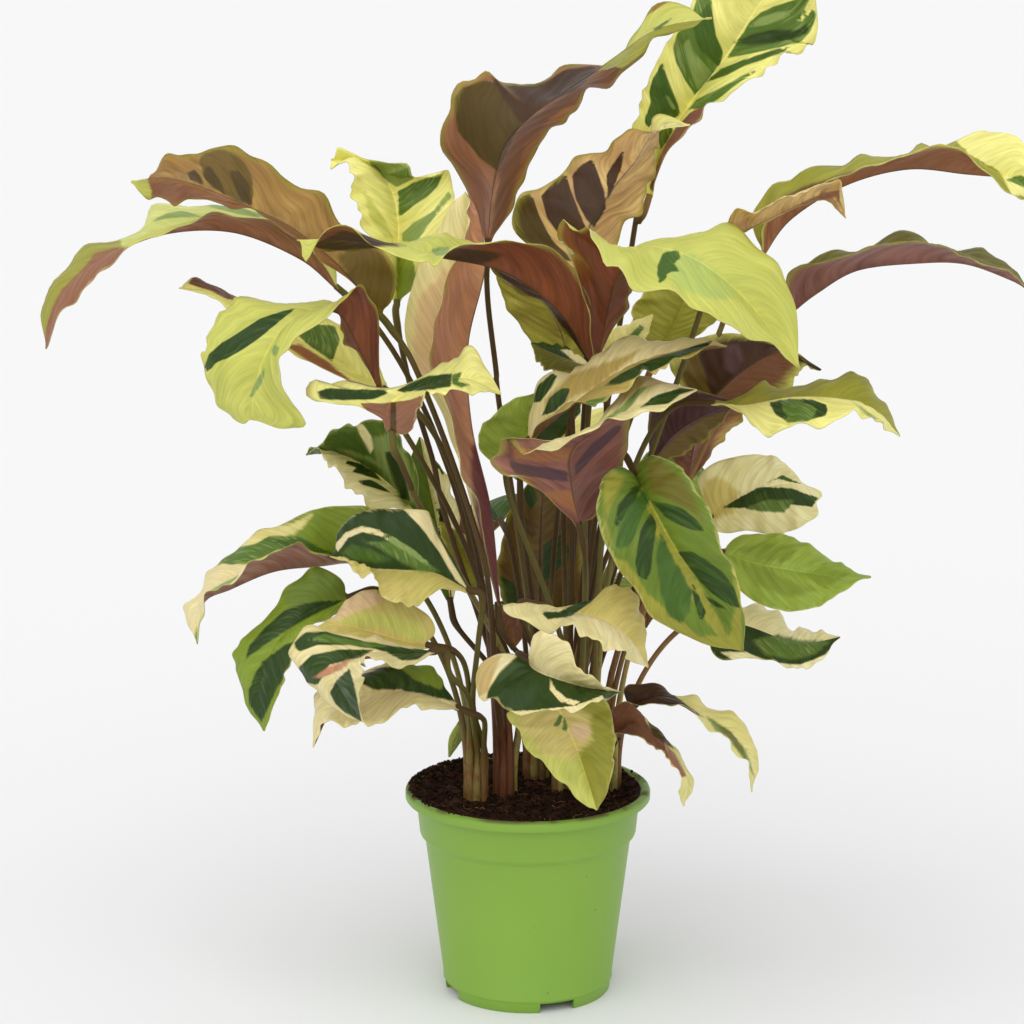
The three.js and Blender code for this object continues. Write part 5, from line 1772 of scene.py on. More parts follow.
        left=Half(Tone.LIME, under=Tone.RED_BROWN), right=Half(Tone.LIME, under=Tone.DARK_BROWN),
        left_edge=path(593,364, 592,330, 590,300, 580,280, 568,264, 545,248, 518,239, 490,242, 460,249,
            432,262, 405,262, 380,246, 352,230, 325,232, 305,262, 297,240),
        marks=(
            Mark(Tone.DARK_BROWN, path(320,240, 345,230, 375,237, 405,247, 385,247, 350,250, 324,250),
                Face.BOTH, feather=5),
            Mark(Tone.DARK_BROWN, path(436,254, 465,247, 505,254, 485,263, 455,265), Face.UNDER, feather=6),
            Mark(Tone.GREY_GREEN, path(430,250, 440,247, 450,248, 447,256, 435,256), feather=2),
            Mark(Tone.LIME, path(290,225, 306,234, 312,258, 302,270, 290,268), Face.BOTH, feather=3),
        ),
    ),
    Leaf(
        "top_centre_brown", Clump.CENTRE, 46, (1, 1), "leaf_purple_brown",
        ((488, 241, 30), (492, 195, 28, 515, 200, 470, 200), (502, 150, 26, 537, 150, 440, 124),
            (526, 120, 23, 562, 117, 486, 72), (556, 98, 20, 584, 99, 530, 84),
            (600, 68, 15, 617, 75, 598, 63), (655, 30, 8, 645, 17, 668, 38), (712, 18, 0)),
        via=((488, 303, 28), (496, 370, 25), (500, 410, 22)),
        left=Half(Tone.LIME, under=Tone.ROSE_BROWN), right=Half(Tone.LIME, under=Tone.DUSKY),
        left_edge=path(488,241, 502,225, 515,205, 517,185, 532,160, 545,140, 562,120, 580,105, 590,92, 612,84,
            622,68, 645,55, 655,42, 668,35, 690,28, 712,18),
        right_edge=path(488,241, 476,225, 474,205, 462,182, 452,165, 441,150, 440,135, 443,124, 450,110,
            452,95, 460,82, 474,80, 487,71, 500,81, 515,81, 535,86, 550,78, 562,69, 585,66, 612,62, 626,45,
            642,22, 655,8, 672,3, 690,8, 700,15, 712,18),
        marks=(
            Mark(Tone.PURPLE_BROWN, path(500,165, 521,125, 545,108, 575,92, 605,75, 620,68, 590,88, 550,118,
                525,145, 500,235, 490,235), Face.UNDER, feather=6),
            Mark(Tone.DARK_OLIVE, path(454,98, 462,88, 480,80, 497,82, 508,100, 521,122, 510,145, 498,172,
                480,158, 458,132), Face.UNDER, feather=3),
            Mark(Tone.DARK_BROWN, path(490,76, 520,86, 545,82, 565,70, 604,64, 575,90, 545,105, 521,124,
                505,100), Face.UNDER, feather=3),
            Mark(Tone.LIME, path(604,62, 640,20, 680,-5, 730,10, 730,40, 660,40, 622,68), Face.BOTH,
                feather=3),
            Mark(Tone.MID_GREEN, path(651,30, 662,24, 674,17, 668,23, 658,30), Face.BOTH, feather=1),
        ),
    ),
    Leaf(
        "olive_under", Clump.FRONT, 34, (0.3, 0.3), "leaf_lime",
        ((568, 375, -4), (563, 338, -8, 590, 340, 535, 345), (545, 300, -10, 580, 290, 507, 307),
            (520, 270, -8, 545, 265, 497, 272), (505, 240, -4)),
        left=Half(Tone.OLIVE_LIME, under=Tone.OLIVE_LIME),
    ),
    Leaf(
        "inner_diamonds", Clump.CENTRE, 40, (0.4, 0.4), "leaf_tan",
        ((540, 640, 76), (540, 600, 78, 580, 600, 503, 600), (540, 550, 80, 581, 548, 498, 560),
            (542, 505, 80, 570, 508, 515, 500), (545, 470, 80)),
        # The olive-brown left half and undersides are partly the leaf's own tan, partly painted shade for the
        # shadow deep inside the plant.
        left=Half(Tone.OLIVE_BROWN, under=Tone.OLIVE_BROWN), right=Half(Tone.GOLD_BROWN,
        under=Tone.OLIVE_BROWN),
        marks=(
            Mark(Tone.DARK_GREEN, path(543,545, 563,532, 571,556, 543,584), Face.BOTH, feather=1.5),
            Mark(Tone.DARK_GREEN, path(499,575, 512,582, 538,612, 500,615), Face.BOTH, feather=2),
            Mark(Tone.DARK_GREEN, path(518,480, 530,478, 538,500, 530,510), Face.BOTH, feather=2),
            Mark(Tone.DARK_OLIVE, path(518,505, 538,535, 532,538, 516,522), Face.BOTH, feather=2),
        ),
    ),
    Leaf(
        "back_left_dark", Clump.CENTRE, 32, (-0.5, -0.5), "leaf_dark_green",
        ((450, 600, 58), (440, 540, 64, 418, 545, 462, 545), (428, 480, 66, 405, 480, 450, 485),
            (420, 437, 64)),
        left=Half(Tone.MID_GREEN), right=Half(Tone.PALE_CREAM, Tone.DARK_GREEN, 0.2),
    ),
    Leaf(
        "small_olive", Clump.CENTRE, 16, (-1, -1), "leaf_gold_brown",
        ((480, 590, 42), (470, 565, 40, 455, 578, 483, 560), (455, 540, 38, 441, 530, 470, 540),
            (440, 522, 40)),
        left=Half(Tone.OLIVE_LIME, under=Tone.GOLD_BROWN),
    ),
    Leaf(
        "centre_mid_green", Clump.CENTRE, 34, (-0.5, -0.5), "leaf_mid_green",
        ((520, 480, 20), (520, 440, 20, 478, 445, 560, 440), (545, 405, 22, 505, 405, 580, 410),
            (590, 375, 28)),
        left=Half(Tone.FRESH_GREEN),
        marks=(
            Mark(Tone.DARK_GREEN, path(534,440, 548,418, 575,402, 592,408, 585,435, 560,442), feather=3),
        ),
    ),
    Leaf(
        "centre_small_dark", Clump.FRONT, 20, (-1, 1), "leaf_dark_green",
        ((592, 368, -25), (570, 360, -32, 560, 372, 568, 349), (550, 352, -38, 540, 365, 553, 345),
            (531, 343, -40)),
        left=Half(Tone.OLIVE), right=Half(Tone.DARK_GREEN),
        marks=(
            Mark(Tone.CREAM, path(560,350, 585,350, 592,368, 575,362), feather=2),
        ),
    ),
    Leaf(
        "centre_small_cream", Clump.FRONT, 20, (0.5, -0.5), "leaf_cream",
        ((600, 365, -8), (618, 345, -12, 605, 335, 632, 350), (635, 330, -14, 630, 323, 645, 340),
            (653, 315, -14)),
        left=Half(Tone.PALE_YELLOW),
        marks=(
            Mark(Tone.MID_GREEN, path(612,355, 622,342, 640,325, 645,328, 628,348), feather=2),
        ),
    ),
    Leaf(
        "large_lime", Clump.RIGHT_FRONT, 46, (1, -1), "leaf_lime",
        ((596, 362, -55), (607, 308, -68, 626, 308, 584, 288), (618, 275, -82, 640, 280, 566, 224),
            (640, 248, -94, 668, 246, 600, 262), (690, 257, -106, 712, 228, 668, 302),
            (745, 299, -112, 777, 263, 738, 320), (799, 368, -108)),
        left=Half(Tone.LIME, under=Tone.RED_BROWN),
        left_edge=path(596,362, 618,320, 632,292, 642,268, 652,246, 680,243, 700,232, 722,222, 738,228,
            755,248, 776,262, 786,280, 795,302, 798,330, 799,368),
        right_edge=path(596,362, 590,335, 585,300, 572,262, 558,236, 564,218, 572,228, 580,230, 588,226,
            592,240, 600,252, 605,265, 618,267, 625,275, 632,286, 650,290, 672,292, 692,310, 720,317, 730,322,
            748,338, 770,343, 785,358, 799,368),
        marks=(
            Mark(Tone.PALE_GREEN, path(662,262, 690,252, 718,272, 740,298, 715,300, 680,290), feather=9),
            Mark(Tone.DEEP_GREEN, path(657,268, 663,253, 678,250, 681,258, 674,263, 680,272, 667,272, 665,284,
                658,283), feather=2),
        ),
    ),
    Leaf(
        "centre_cream_striped", Clump.RIGHT_FRONT, 36, (1, -1), "leaf_cream",
        ((528, 440, -75), (565, 410, -85, 548, 378, 585, 407), (612, 376, -95, 600, 352, 634, 383),
            (660, 356, -100, 655, 339, 668, 366), (727, 346, -95)),
        left=Half(Tone.CREAM), right=Half(Tone.KHAKI),
        left_edge=path(528,440, 530,410, 538,385, 552,372, 572,370, 592,362, 600,350, 620,340, 645,338,
            668,342, 690,340, 705,337, 727,346),
        right_edge=path(528,440, 540,422, 562,414, 580,402, 600,404, 616,396, 630,384, 648,372, 668,366,
            690,356, 708,346, 727,346),
        marks=(
            Mark(Tone.KHAKI, path(545,400, 570,375, 610,362, 640,350, 625,365, 600,385, 570,400, 545,412),
                feather=8),
            Mark(Tone.DARK_GREEN, path(604,386, 620,374, 650,360, 690,348, 714,340, 708,347, 680,358, 650,373,
                620,384), feather=1.5),
            Mark(Tone.DARK_GREEN, path(532,403, 538,386, 552,373, 558,376, 550,390, 540,402), feather=1.5),
            Mark(Tone.DARK_GREEN, path(542,416, 550,398, 562,388, 571,389, 565,402, 555,412), feather=1.5),
            Mark(Tone.MID_GREEN, path(570,412, 590,400, 616,395, 600,404, 582,412), feather=1.5),
        ),
    ),
    Leaf(
        "centre_purple_fold", Clump.RIGHT_FRONT, 44, (1, -0.5), "leaf_mauve",
        ((579, 525, -100), (571, 488, -112, 605, 480, 530, 480), (572, 450, -120, 625, 435, 500, 450),
            (610, 422, -125, 622, 392, 605, 429), (655, 400, -125, 640, 375, 660, 410), (697, 390, -118)),
        left=Half(Tone.CREAM, under=Tone.MAUVE),
        left_edge=path(579,525, 595,515, 608,490, 622,460, 632,425, 628,410, 615,402, 630,385, 638,373,
            655,378, 675,385, 697,390),
        right_edge=path(579,525, 560,510, 545,495, 520,478, 502,474, 490,463, 498,455, 502,437, 512,443,
            524,455, 535,446, 556,447, 575,438, 598,430, 608,420, 625,422, 640,410, 662,410, 697,390),
        marks=(
            Mark(Tone.ROSE_BROWN, path(512,446, 540,452, 575,446, 568,462, 540,462, 515,458), Face.UNDER,
                feather=5),
            Mark(Tone.ROSE_BROWN, path(540,492, 572,490, 578,515, 562,505), Face.UNDER, feather=6),
            Mark(Tone.SLATE, path(505,458, 515,463, 540,466, 567,470, 567,482, 540,478, 515,474), Face.UNDER,
                feather=3),
            Mark(Tone.SLATE, path(574,466, 590,445, 618,423, 622,428, 602,448, 576,475), Face.UNDER,
                feather=3),
            Mark(Tone.DARK_GREEN, path(640,408, 655,396, 680,388, 695,390, 680,395, 668,404, 648,406),
                feather=1.5),
            Mark(Tone.GREY_GREEN, path(604,420, 620,408, 640,388, 652,384, 640,395, 628,410, 612,418),
                feather=2),
        ),
    ),
    Leaf(
        "front_right_green", Clump.RIGHT_FRONT, 50, (-0.4, -0.4), "leaf_mid_green",
        ((635, 474, -95), (641, 486, -102, 660, 456, 612, 470), (650, 503, -112, 688, 478, 599, 497),
            (678, 552, -125, 722, 537, 612, 560), (710, 598, -128, 740, 588, 650, 618), (743, 651, -120)),
        left=Half(Tone.LEAF_GREEN),
        left_edge=path(635,474, 642,460, 654,455, 672,462, 690,478, 706,505, 716,530, 724,550, 735,575,
            742,600, 745,625, 743,651),
        right_edge=path(635,474, 628,472, 618,468, 605,475, 598,492, 598,515, 605,545, 618,568, 636,590,
            650,615, 670,628, 700,643, 722,648, 743,651),
        marks=(
            Mark(Tone.OLIVE_LIME, path(608,556, 622,585, 640,602, 655,628, 690,648, 742,654, 742,590, 732,560,
                736,600, 730,635, 700,636, 668,610, 648,594, 628,562), feather=6),
            Mark(Tone.OLIVE_LIME, path(642,488, 656,512, 676,548, 702,588, 728,636, 716,634, 692,600, 668,562,
                652,528), feather=5),
            Mark(Tone.DARK_GREEN, path(612,532, 618,505, 632,488, 641,484, 636,500, 624,518), feather=3),
            Mark(Tone.OLIVE_LIME, path(603,480, 612,470, 625,478, 612,500, 606,520, 612,548, 604,540),
                feather=8),
            Mark(Tone.DEEP_GREEN, path(616,545, 619,525, 628,508, 644,490, 650,500, 640,520, 632,540,
                622,552), feather=3),
            Mark(Tone.DARK_GREEN, path(635,562, 640,532, 651,511, 657,526, 653,550, 651,571, 645,583,
                637,574), feather=2),
            Mark(Tone.DARK_GREEN, path(651,501, 668,503, 684,509, 696,519, 706,531, 695,531, 682,526,
                666,517), feather=2),
            Mark(Tone.DARK_GREEN, path(678,552, 692,551, 708,560, 722,571, 734,586, 741,608, 731,606, 713,594,
                699,580, 687,564), feather=2),
            Mark(Tone.DARK_GREEN, path(703,595, 716,601, 728,609, 714,606), feather=1.5),
            Mark(Tone.DEEP_GREEN, path(660,528, 668,548, 682,572, 692,592, 690,612, 682,624, 668,616, 660,590,
                656,560), feather=5),
            Mark(Tone.DARK_GREEN, path(692,582, 700,598, 706,612, 702,622, 697,612, 693,598), feather=1.5),
            Mark(Tone.OLIVE, path(645,462, 660,458, 684,480, 698,505, 706,525, 690,510, 665,498, 650,490),
                feather=9),
        ),
    ),
    Leaf(
        "right_yellow", Clump.RIGHT_FRONT, 36, (1, -1), "leaf_yellow",
        ((712, 403, -70), (745, 405, -78, 762, 386, 752, 428), (795, 397, -82, 790, 390, 792, 428),
            (845, 400, -82, 845, 374, 850, 415), (877, 414, -80, 883, 400, 874, 425), (900, 436, -75)),
        left=Half(Tone.OLIVE_LIME), right=Half(Tone.YELLOW),
        left_edge=path(712,403, 735,400, 752,390, 765,384, 780,390, 800,390, 820,380, 845,374, 862,378,
            876,392, 888,412, 900,436),
        right_edge=path(712,403, 728,406, 742,415, 755,428, 770,434, 788,430, 800,424, 830,424, 845,417,
            858,412, 875,422, 900,436),
        marks=(
            Mark(Tone.MID_GREEN, path(770,403, 790,399, 812,400, 826,405, 828,415, 805,422, 788,423, 775,414),
                feather=1.5),
            Mark(Tone.DARK_GREEN, path(796,400, 812,400, 826,405, 828,415, 808,421, 818,411, 812,405),
                feather=2),
            Mark(Tone.DARK_GREEN, path(768,402, 780,401, 784,412, 792,423, 776,415), feather=2),
            Mark(Tone.GREY_GREEN, path(850,400, 868,412, 885,424, 870,418)),
        ),
    ),
    Leaf(
        "right_droop_long", Clump.RIGHT, 20, (1, -1), "leaf_purple_brown",
        ((629, 712, -20), (652, 697, -30, 655, 686, 655, 705), (680, 703, -35, 685, 694, 683, 709),
            (712, 724, -38, 720, 709, 710, 733), (742, 745, -40, 752, 738, 730, 750),
            (753, 768, -40, 758, 766, 748, 772), (752, 792, -38)),
        left=Half(Tone.PALE_YELLOW, under=Tone.DARK_BROWN), rim=Tone.PALE_YELLOW, wave=1.5,
        left_edge=path(618,700, 626,686, 635,684, 660,685, 674,697, 693,695, 705,707, 720,710, 735,712,
            747,732, 757,750, 757,768, 751,790),
        right_edge=path(618,700, 628,702, 640,706, 650,704, 665,704, 680,706, 692,711, 700,718, 708,728,
            718,734, 730,740, 733,750, 740,757, 747,762, 750,775, 751,790),
        marks=(
            Mark(Tone.DARK_BROWN, path(600,710, 626,676, 645,680, 664,684, 676,697, 690,708, 704,718, 680,709,
                640,712), Face.BOTH, feather=1.5),
            Mark(Tone.GREY_GREEN, path(706,716, 730,731, 746,750, 755,778, 746,764, 735,748, 716,732),
                feather=3),
            Mark(Tone.OLIVE, path(712,722, 730,732, 742,746, 752,774, 744,758, 732,742), feather=2),
        ),
    ),
    Leaf(
        "right_droop_short", Clump.RIGHT, 20, (1, -1), "leaf_purple_brown",
        ((617, 739, -38), (632, 722, -52, 625, 703, 632, 735), (655, 738, -60, 652, 722, 655, 747),
            (674, 757, -66, 683, 752, 670, 758), (687, 782, -70, 694, 778, 680, 783), (684, 806, -68)),
        left=Half(Tone.PALE_YELLOW, under=Tone.RED_BROWN), rim=Tone.PALE_YELLOW, wave=1.5,
        left_edge=path(612,738, 612,712, 622,702, 632,704, 645,719, 658,728, 668,743, 678,754, 684,766,
            692,779, 691,792, 682,806),
        right_edge=path(612,738, 617,733, 630,735, 645,740, 656,748, 668,758, 676,768, 681,780, 680,793,
            682,806),
        marks=(
            Mark(Tone.PURPLE_BROWN, path(600,745, 606,705, 624,696, 642,710, 646,722, 653,734, 664,742,
                672,766, 645,742), Face.BOTH, feather=1.5),
            Mark(Tone.DARK_OLIVE, path(646,718, 660,728, 674,750, 664,743, 652,735), Face.BOTH, feather=1.5),
            Mark(Tone.DUSKY, path(664,742, 676,756, 686,776, 680,778, 670,762), feather=2),
        ),
    ),
    Leaf(
        "right_lime_green", Clump.RIGHT, 36, (0.5, -0.5), "leaf_lime",
        ((722, 552, -20), (755, 563, -25, 760, 534, 758, 602), (797, 571, -28, 800, 541, 800, 610),
            (837, 577, -28, 838, 563, 835, 597), (871, 577, -25)),
        left=Half(Tone.FRESH_GREEN),
        left_edge=path(722,552, 735,538, 755,534, 780,534, 805,542, 820,553, 838,562, 855,572, 871,577),
        right_edge=path(722,552, 730,575, 745,595, 770,608, 800,611, 825,603, 845,590, 860,580, 871,577),
        marks=(
            Mark(Tone.LIME_GREEN, path(735,560, 760,566, 790,580, 820,590, 790,598, 755,585), feather=9),
            Mark(Tone.LIME_GREEN, path(738,550, 765,542, 800,548, 790,562, 760,560), feather=8),
            Mark(Tone.LIME_GREEN, path(800,574, 825,566, 850,574, 825,588), feather=8),
        ),
    ),
    Leaf(
        "right_cream_dark", Clump.RIGHT, 32, (1, -0.6), "leaf_cream",
        ((722, 622, 15), (748, 626, 12, 752, 607, 745, 658), (789, 641, 10, 787, 628, 790, 667),
            (815, 642, 10, 815, 631, 815, 662), (840, 637, 12)),
        left=Half(Tone.PALE_CREAM), right=Half(Tone.DARK_GREEN),
        left_edge=path(722,622, 735,608, 760,606, 780,612, 785,628, 800,630, 820,632, 840,637),
        right_edge=path(722,622, 710,645, 722,660, 750,658, 775,662, 800,669, 822,660, 832,645, 840,637),
        marks=(
            Mark(Tone.MID_GREEN, path(752,640, 775,635, 800,640, 830,642, 815,655, 790,660, 765,655),
                feather=6),
            Mark(Tone.PALE_CREAM, path(720,652, 745,652, 770,662, 800,665, 825,655, 835,645, 845,660, 800,672,
                740,664), feather=2),
        ),
    ),
    Leaf(
        "tan_banded", Clump.BACK, 44, (0.5, 0.5), "leaf_tan",
        ((577, 270, 10), (588, 230, 12, 623, 243, 515, 215), (612, 190, 15, 645, 198, 560, 178),
            (634, 163, 18, 654, 160, 603, 152), (655, 133, 20, 662, 138, 646, 126), (690, 125, 12)),
        via=((585, 340, 38), (583, 430, 50)),
        left=Half(Tone.YELLOW, under=Tone.TAN),
        left_edge=path(577,270, 600,258, 618,245, 625,222, 640,212, 648,190, 655,165, 658,142, 660,128,
            672,120, 690,125),
        right_edge=path(577,270, 545,255, 522,240, 512,225, 515,205, 522,193, 540,188, 555,178, 568,168,
            578,156, 600,151, 615,142, 630,130, 648,130, 652,118, 665,115, 690,125),
        marks=(
            Mark(Tone.DARK_OLIVE, path(512,215, 520,196, 532,194, 539,215, 552,240, 574,262, 545,256,
                518,240), Face.UNDER, feather=1.5),
            Mark(Tone.DARK_BROWN, path(541,196, 552,184, 566,172, 571,190, 580,214, 588,232, 578,250, 560,236,
                547,218), Face.UNDER, feather=1.5),
            Mark(Tone.DARK_BROWN, path(572,176, 580,166, 592,158, 598,172, 604,192, 606,208, 594,228, 585,218,
                576,200), Face.UNDER, feather=1.5),
            Mark(Tone.DARK_BROWN, path(606,176, 616,160, 625,147, 622,166, 614,186, 608,200), Face.UNDER,
                feather=1.5),
            Mark(Tone.YELLOW, path(640,118, 665,112, 700,118, 700,135, 660,130, 648,132), Face.BOTH,
                feather=2),
        ),
    ),
    Leaf(
        "top_right_variegated", Clump.BACK, 46, (-0.7, -0.7), "leaf_yellow",
        ((649, 197, 75), (668, 140, 77, 640, 118, 682, 132), (694, 98, 77, 646, 82, 728, 92),
            (728, 53, 72, 672, 38, 788, 58), (760, 3, 62, 705, -12, 817, 15), (797, -48, 50)),
        via=((638, 223, 76), (632, 245, 76)),
        left=Half(Tone.YELLOW, under=Tone.DUSKY),
        left_edge=path(649,197, 640,175, 645,150, 630,128, 640,112, 645,85, 655,65, 668,45, 675,30, 688,10,
            700,-8, 740,-30, 797,-48),
        right_edge=path(649,197, 662,165, 675,140, 690,126, 699,119, 710,106, 724,102, 731,93, 738,87, 750,77,
            761,75, 767,67, 777,65, 781,55, 791,51, 801,54, 808,44, 814,45, 818,27, 817,10, 812,-20, 797,-48),
        marks=(
            Mark(Tone.DEEP_GREEN, path(662,62, 652,80, 649,92, 650,103, 644,121, 648,128, 658,117, 671,121,
                680,114, 678,104, 672,90, 667,77), feather=1.5),
            Mark(Tone.GREY_GREEN, path(664,94, 669,97, 676,109, 672,109), feather=2),
            Mark(Tone.MID_GREEN, path(676,34, 691,22, 697,-4, 711,-4, 713,20, 716,36, 723,51, 720,64, 706,82,
                695,95, 685,80, 676,63, 673,48), feather=1.5),
            Mark(Tone.DEEP_GREEN, path(692,25, 711,0, 713,20, 716,36, 723,51, 719,66, 708,58, 698,46),
                feather=3),
            Mark(Tone.GREY_GREEN, path(683,44, 689,38, 694,52, 704,64, 712,72, 698,90, 690,70), feather=3),
            Mark(Tone.MID_GREEN, path(741,36, 750,22, 761,12, 773,6, 794,0, 812,-4, 801,16, 793,22, 801,22,
                814,8, 817,13, 811,31, 801,42, 777,48, 752,53, 727,58), feather=1.5),
            Mark(Tone.DARK_GREEN, path(733,43, 752,35, 768,31, 800,29, 812,22, 808,34, 780,42, 750,45),
                feather=5),
            Mark(Tone.GREY_GREEN, path(748,27, 760,18, 778,12, 795,10, 785,18, 765,25), feather=4),
            Mark(Tone.DEEP_GREEN, path(706,82, 720,69, 744,60, 773,50, 800,43, 779,54, 765,59, 744,66,
                726,76), feather=1.5),
            Mark(Tone.MID_GREEN, path(688,110, 696,100, 720,88, 744,75, 761,68, 750,76, 732,88, 720,98,
                706,108), feather=1.5),
            Mark(Tone.MID_GREEN, path(656,134, 671,121, 673,131, 666,143, 660,150), feather=2),
            Mark(Tone.MAUVE, path(716,106, 700,108, 690,113, 678,126, 668,140, 659,160, 649,188, 660,198,
                675,160, 690,135, 705,120), Face.BOTH, feather=1.5),
        ),
    ),
    Leaf(
        "right_arch_upper", Clump.BACK, 36, (1, -1), "leaf_gold_brown",
        ((762, 255, -15), (790, 218, -25, 770, 190, 770, 215), (845, 184, -40, 848, 165, 845, 176),
            (907, 168, -50, 905, 158, 905, 155), (965, 173, -60, 975, 140, 958, 148),
            (1016, 180, -70, 1022, 141, 1010, 195), (1036, 198, -76)),
        via=((740, 290, -6), (721, 316, 4), (714, 345, 12)),
        left=Half(Tone.OLIVE_LIME, under=Tone.DUSKY), right=Half(Tone.OLIVE_LIME, under=Tone.ROSE_BROWN),
        rim=Tone.LIME, wave=1.0,
        left_edge=path(762,255, 755,235, 752,215, 765,195, 775,183, 790,180, 800,172, 815,165, 845,165,
            862,156, 885,159, 905,155, 920,143, 935,147, 953,143, 975,133, 990,132, 1022,141, 1036,198),
        marks=(
            Mark(Tone.OLIVE_BROWN, path(760,245, 766,215, 784,197, 800,188, 825,180, 850,172, 905,165,
                860,185, 800,205, 772,240), Face.TOP, feather=4),
            Mark(Tone.YELLOW, path(950,135, 985,125, 1050,130, 1050,200, 1012,195, 1000,172, 970,155),
                Face.TOP, feather=3),
            Mark(Tone.MID_GREEN, path(1005,180, 1020,175, 1045,185, 1030,190), Face.TOP, feather=2),
            Mark(Tone.DUSKY, path(840,175, 880,160, 930,145, 970,150, 1000,175, 1010,192, 940,178, 870,180),
                Face.UNDER),
        ),
    ),
    Leaf(
        "right_small_over", Clump.RIGHT_FRONT, 24, (0.5, -1), "leaf_gold_brown",
        ((728, 240, -62), (748, 228, -75, 744, 233, 737, 208), (785, 210, -92, 783, 214, 785, 199),
            (825, 194, -100, 822, 200, 820, 187), (846, 218, -102)),
        via=((706, 290, -60), (688, 350, -56)),
        left=Half(Tone.PINK_CREAM, under=Tone.TAN), wave=1.0,
        right_edge=path(728,240, 728,222, 737,209, 752,212, 765,208, 785,198, 810,190, 830,182, 840,180,
            843,195, 846,218),
        marks=(
            Mark(Tone.DUSKY, path(768,222, 795,206, 822,192, 842,190, 846,212, 836,197, 815,201, 790,216,
                774,232), Face.UNDER, feather=3),
            Mark(Tone.CREAM, path(840,178, 848,185, 850,222, 840,200), Face.BOTH, feather=2),
        ),
    ),
    Leaf(
        "right_arch_lower", Clump.RIGHT, 36, (1, -1), "leaf_mauve",
        ((790, 312, 20), (816, 292, 10, 800, 266, 790, 272), (857, 269, 0, 850, 249, 845, 256),
            (917, 262, -15, 915, 232, 912, 240), (965, 263, -30, 975, 250, 962, 256),
            (1010, 279, -45, 1015, 266, 1007, 272), (1029, 290, -55)),
        via=((752, 345, 24), (716, 420, 18)),
        left=Half(Tone.OLIVE, under=Tone.MAUVE), rim=Tone.OLIVE_LIME, wave=1.0,
        left_edge=path(790,312, 787,290, 790,272, 805,265, 820,256, 835,250, 860,251, 872,247, 885,237,
            905,232, 920,235, 935,248, 950,253, 980,250, 995,258, 1010,266, 1029,290),
    ),
    Leaf(
        "lime_behind", Clump.BACK, 38, (-0.3, -0.3), "leaf_lime",
        ((660, 352, 15), (672, 328, 18, 632, 322, 712, 325), (688, 295, 20, 645, 292, 722, 300),
            (705, 262, 22)),
        left=Half(Tone.OLIVE_LIME, under=Tone.OLIVE_LIME), right=Half(Tone.OLIVE_LIME, under=Tone.OLIVE),
    ),
    Leaf(
        "dark_brown_upper", Clump.BACK, 42, (0.3, 0.3), "leaf_purple_brown",
        ((700, 412, 10), (722, 388, 5, 765, 400, 670, 360), (752, 364, 0, 790, 388, 715, 334),
            (785, 352, 0, 802, 368, 774, 342), (821, 370, 2)),
        left=Half(Tone.LIME, under=Tone.DARK_BROWN), rim=Tone.LIME,
        marks=(
            Mark(Tone.PURPLE_BROWN, path(717,394, 734,376, 762,358, 792,346, 802,368, 778,386, 750,398,
                726,402), Face.UNDER, feather=6),
            Mark(Tone.SLATE, path(724,370, 724,346, 738,342, 744,360, 736,374), Face.UNDER, feather=8),
            Mark(Tone.OLIVE_BROWN, path(660,368, 696,348, 704,372, 710,392, 688,396, 664,388), Face.UNDER,
                feather=6),
        ),
    ),
    Leaf(
        "dark_brown_lower", Clump.BACK, 34, (0.5, 0.5), "leaf_purple_brown",
        ((688, 480, 35), (694, 445, 33, 722, 440, 668, 448), (703, 418, 30, 745, 412, 680, 415),
            (722, 385, 30)),
        left=Half(Tone.LIME, under=Tone.MAUVE),
        marks=(
            Mark(Tone.TAN, path(712,446, 718,432, 738,414, 742,424, 726,446, 716,462), Face.UNDER,
                feather=12),
        ),
    ),
    Leaf(
        "dark_brown_inner", Clump.BACK, 30, (0.5, 0.5), "leaf_purple_brown",
        ((652, 462, -20), (672, 436, -22, 690, 450, 652, 405), (700, 417, -24, 715, 430, 690, 390),
            (735, 402, -24)),
        via=((634, 530, 6), (611, 602, 32)),
        left=Half(Tone.LIME, under=Tone.SLATE),
        marks=(
            Mark(Tone.OLIVE_BROWN, path(652,462, 676,436, 704,418, 728,410, 724,430, 704,448, 676,470),
                Face.UNDER, feather=5),
        ),
    ),
    Leaf(
        "right_cream_green", Clump.RIGHT, 40, (0.3, -0.3), "leaf_cream",
        ((711, 517, 30), (735, 500, 28, 715, 462, 728, 532), (765, 487, 25, 765, 455, 765, 534),
            (795, 483, 25, 795, 466, 800, 526), (822, 496, 28)),
        left=Half(Tone.PALE_CREAM),
        left_edge=path(711,517, 700,490, 698,478, 712,464, 740,456, 768,455, 785,463, 795,475, 800,482,
            822,492, 822,496),
        right_edge=path(711,517, 715,530, 728,533, 750,531, 775,535, 800,527, 818,515, 815,505, 822,496),
        marks=(
            Mark(Tone.STRAW, path(700,505, 705,480, 722,478, 740,492, 735,512, 715,520), feather=9),
            # A painted shadow: this thin deep green strip stands for the shade that the curl of the leaf's
            # edge casts.
            Mark(Tone.DEEP_GREEN, path(766,483, 782,475, 801,484, 790,482, 779,479), feather=1),
            Mark(Tone.DARK_GREEN, path(722,508, 740,497, 760,487, 790,488, 818,498, 812,507, 790,504, 765,511,
                745,508), feather=1.5),
            Mark(Tone.MID_GREEN, path(745,508, 765,500, 795,500, 785,512, 762,512), feather=3),
        ),
    ),
    Leaf(
        "back_high", Clump.CENTRE, 38, (0, 0), "leaf_lime",
        ((565, 455, 92), (570, 425, 120, 535, 422, 605, 418), (577, 418, 150, 525, 412, 628, 410),
            (584, 432, 172, 548, 430, 620, 428), (588, 460, 184)),
        left=Half(Tone.LIME, Tone.MID_GREEN, 0.3), right=Half(Tone.YELLOW, Tone.DARK_GREEN, 0.3),
    ),
    Leaf(
        "back_right", Clump.BACK, 38, (0, 0), "leaf_mid_green",
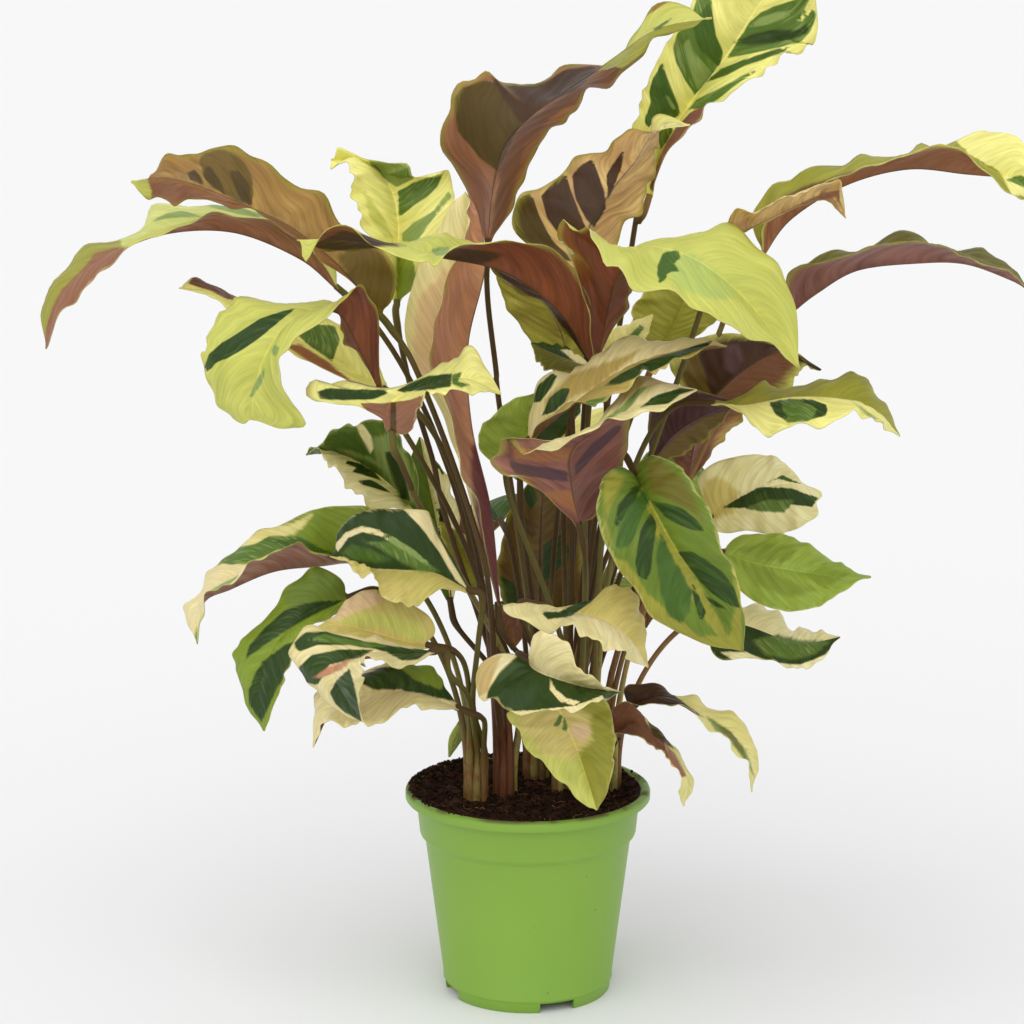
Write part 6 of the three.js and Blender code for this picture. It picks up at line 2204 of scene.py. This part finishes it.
        ((640, 505, 90), (668, 480, 115, 640, 462, 690, 505), (695, 476, 142, 665, 446, 716, 510),
            (715, 492, 162, 700, 470, 722, 515), (722, 520, 172)),
        left=Half(Tone.MID_GREEN, Tone.LIME, 0.3), right=Half(Tone.LIME_GREEN, Tone.DARK_GREEN, 0.3),
    ),
    Leaf(
        "back_left", Clump.CENTRE, 36, (0, 0), "leaf_dark_green",
        ((500, 520, 90), (490, 505, 115, 462, 515, 518, 500), (482, 508, 142, 446, 520, 520, 500),
            (476, 528, 164, 452, 535, 500, 524), (472, 560, 175)),
        left=Half(Tone.DARK_GREEN), right=Half(Tone.DEEP_GREEN),
    ),
    Leaf(
        "back_low_right", Clump.BACK, 36, (0, 0), "leaf_lime",
        ((600, 600, 92), (612, 580, 118, 580, 572, 640, 588), (626, 580, 145, 588, 566, 658, 592),
            (638, 598, 166, 610, 590, 660, 606), (646, 628, 176)),
        left=Half(Tone.LIME, Tone.DARK_GREEN, 0.3), right=Half(Tone.LIME_GREEN, Tone.DARK_GREEN, 0.3),
    ),
    Leaf(
        "back_low_left", Clump.CENTRE, 36, (0, 0), "leaf_cream",
        ((540, 620, 98), (532, 600, 122, 500, 606, 562, 598), (524, 602, 148, 488, 612, 560, 600),
            (516, 620, 168, 494, 626, 540, 618), (512, 650, 178)),
        left=Half(Tone.DARK_GREEN),
    ),
)



SHOOTS = (
    Shoot(Clump.LEFT, "stalk_brown", StalkFinish(Tone.PURPLE_BROWN, Tone.STALK_DARK, Tone.STALK_OLIVE)),
    Shoot(Clump.LEFT_FRONT, "stalk_tan", StalkFinish(Tone.STALK_TAN, Tone.STALK_OLIVE, Tone.STALK_DARK)),
    Shoot(Clump.FRONT, "stalk_brown", StalkFinish(Tone.STALK_TAN, Tone.STALK_DARK, Tone.STALK_DARK)),
    Shoot(Clump.CENTRE, "stalk_brown", StalkFinish(Tone.STALK_TAN, Tone.STALK_DARK, Tone.STALK_DARK)),
    Shoot(Clump.RIGHT_FRONT, "stalk_brown", StalkFinish(Tone.STALK_TAN, Tone.STALK_OLIVE, Tone.STALK_DARK)),
    Shoot(Clump.RIGHT, "stalk_tan", StalkFinish(Tone.STALK_TAN, Tone.STALK_TAN, Tone.STALK_DARK)),
    Shoot(Clump.BACK, "stalk_brown", StalkFinish(Tone.STALK_TAN, Tone.STALK_DARK, Tone.STALK_TAN)),
)


def main() -> None:
    """Builds the studio and every piece of the plant."""
    logging.basicConfig(level=logging.INFO, format="%(message)s")
    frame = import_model()
    log.info("frame with %d nodes", len(frame["nodes"]))
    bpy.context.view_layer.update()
    Studio().build()
    palette = Palette()
    log.info("built %s", Pot().build(palette).name)
    log.info("built %s", Soil().build(palette).name)
    for shoot in SHOOTS:
        members = [leaf for leaf in LEAVES if leaf.clump is shoot.clump]
        log.info("built %s with %d stalks", shoot.build(members, palette).name, len(members))
    for leaf in LEAVES:
        log.info("built %s", leaf.build(palette).name)


if __name__ == "__main__":
    main()
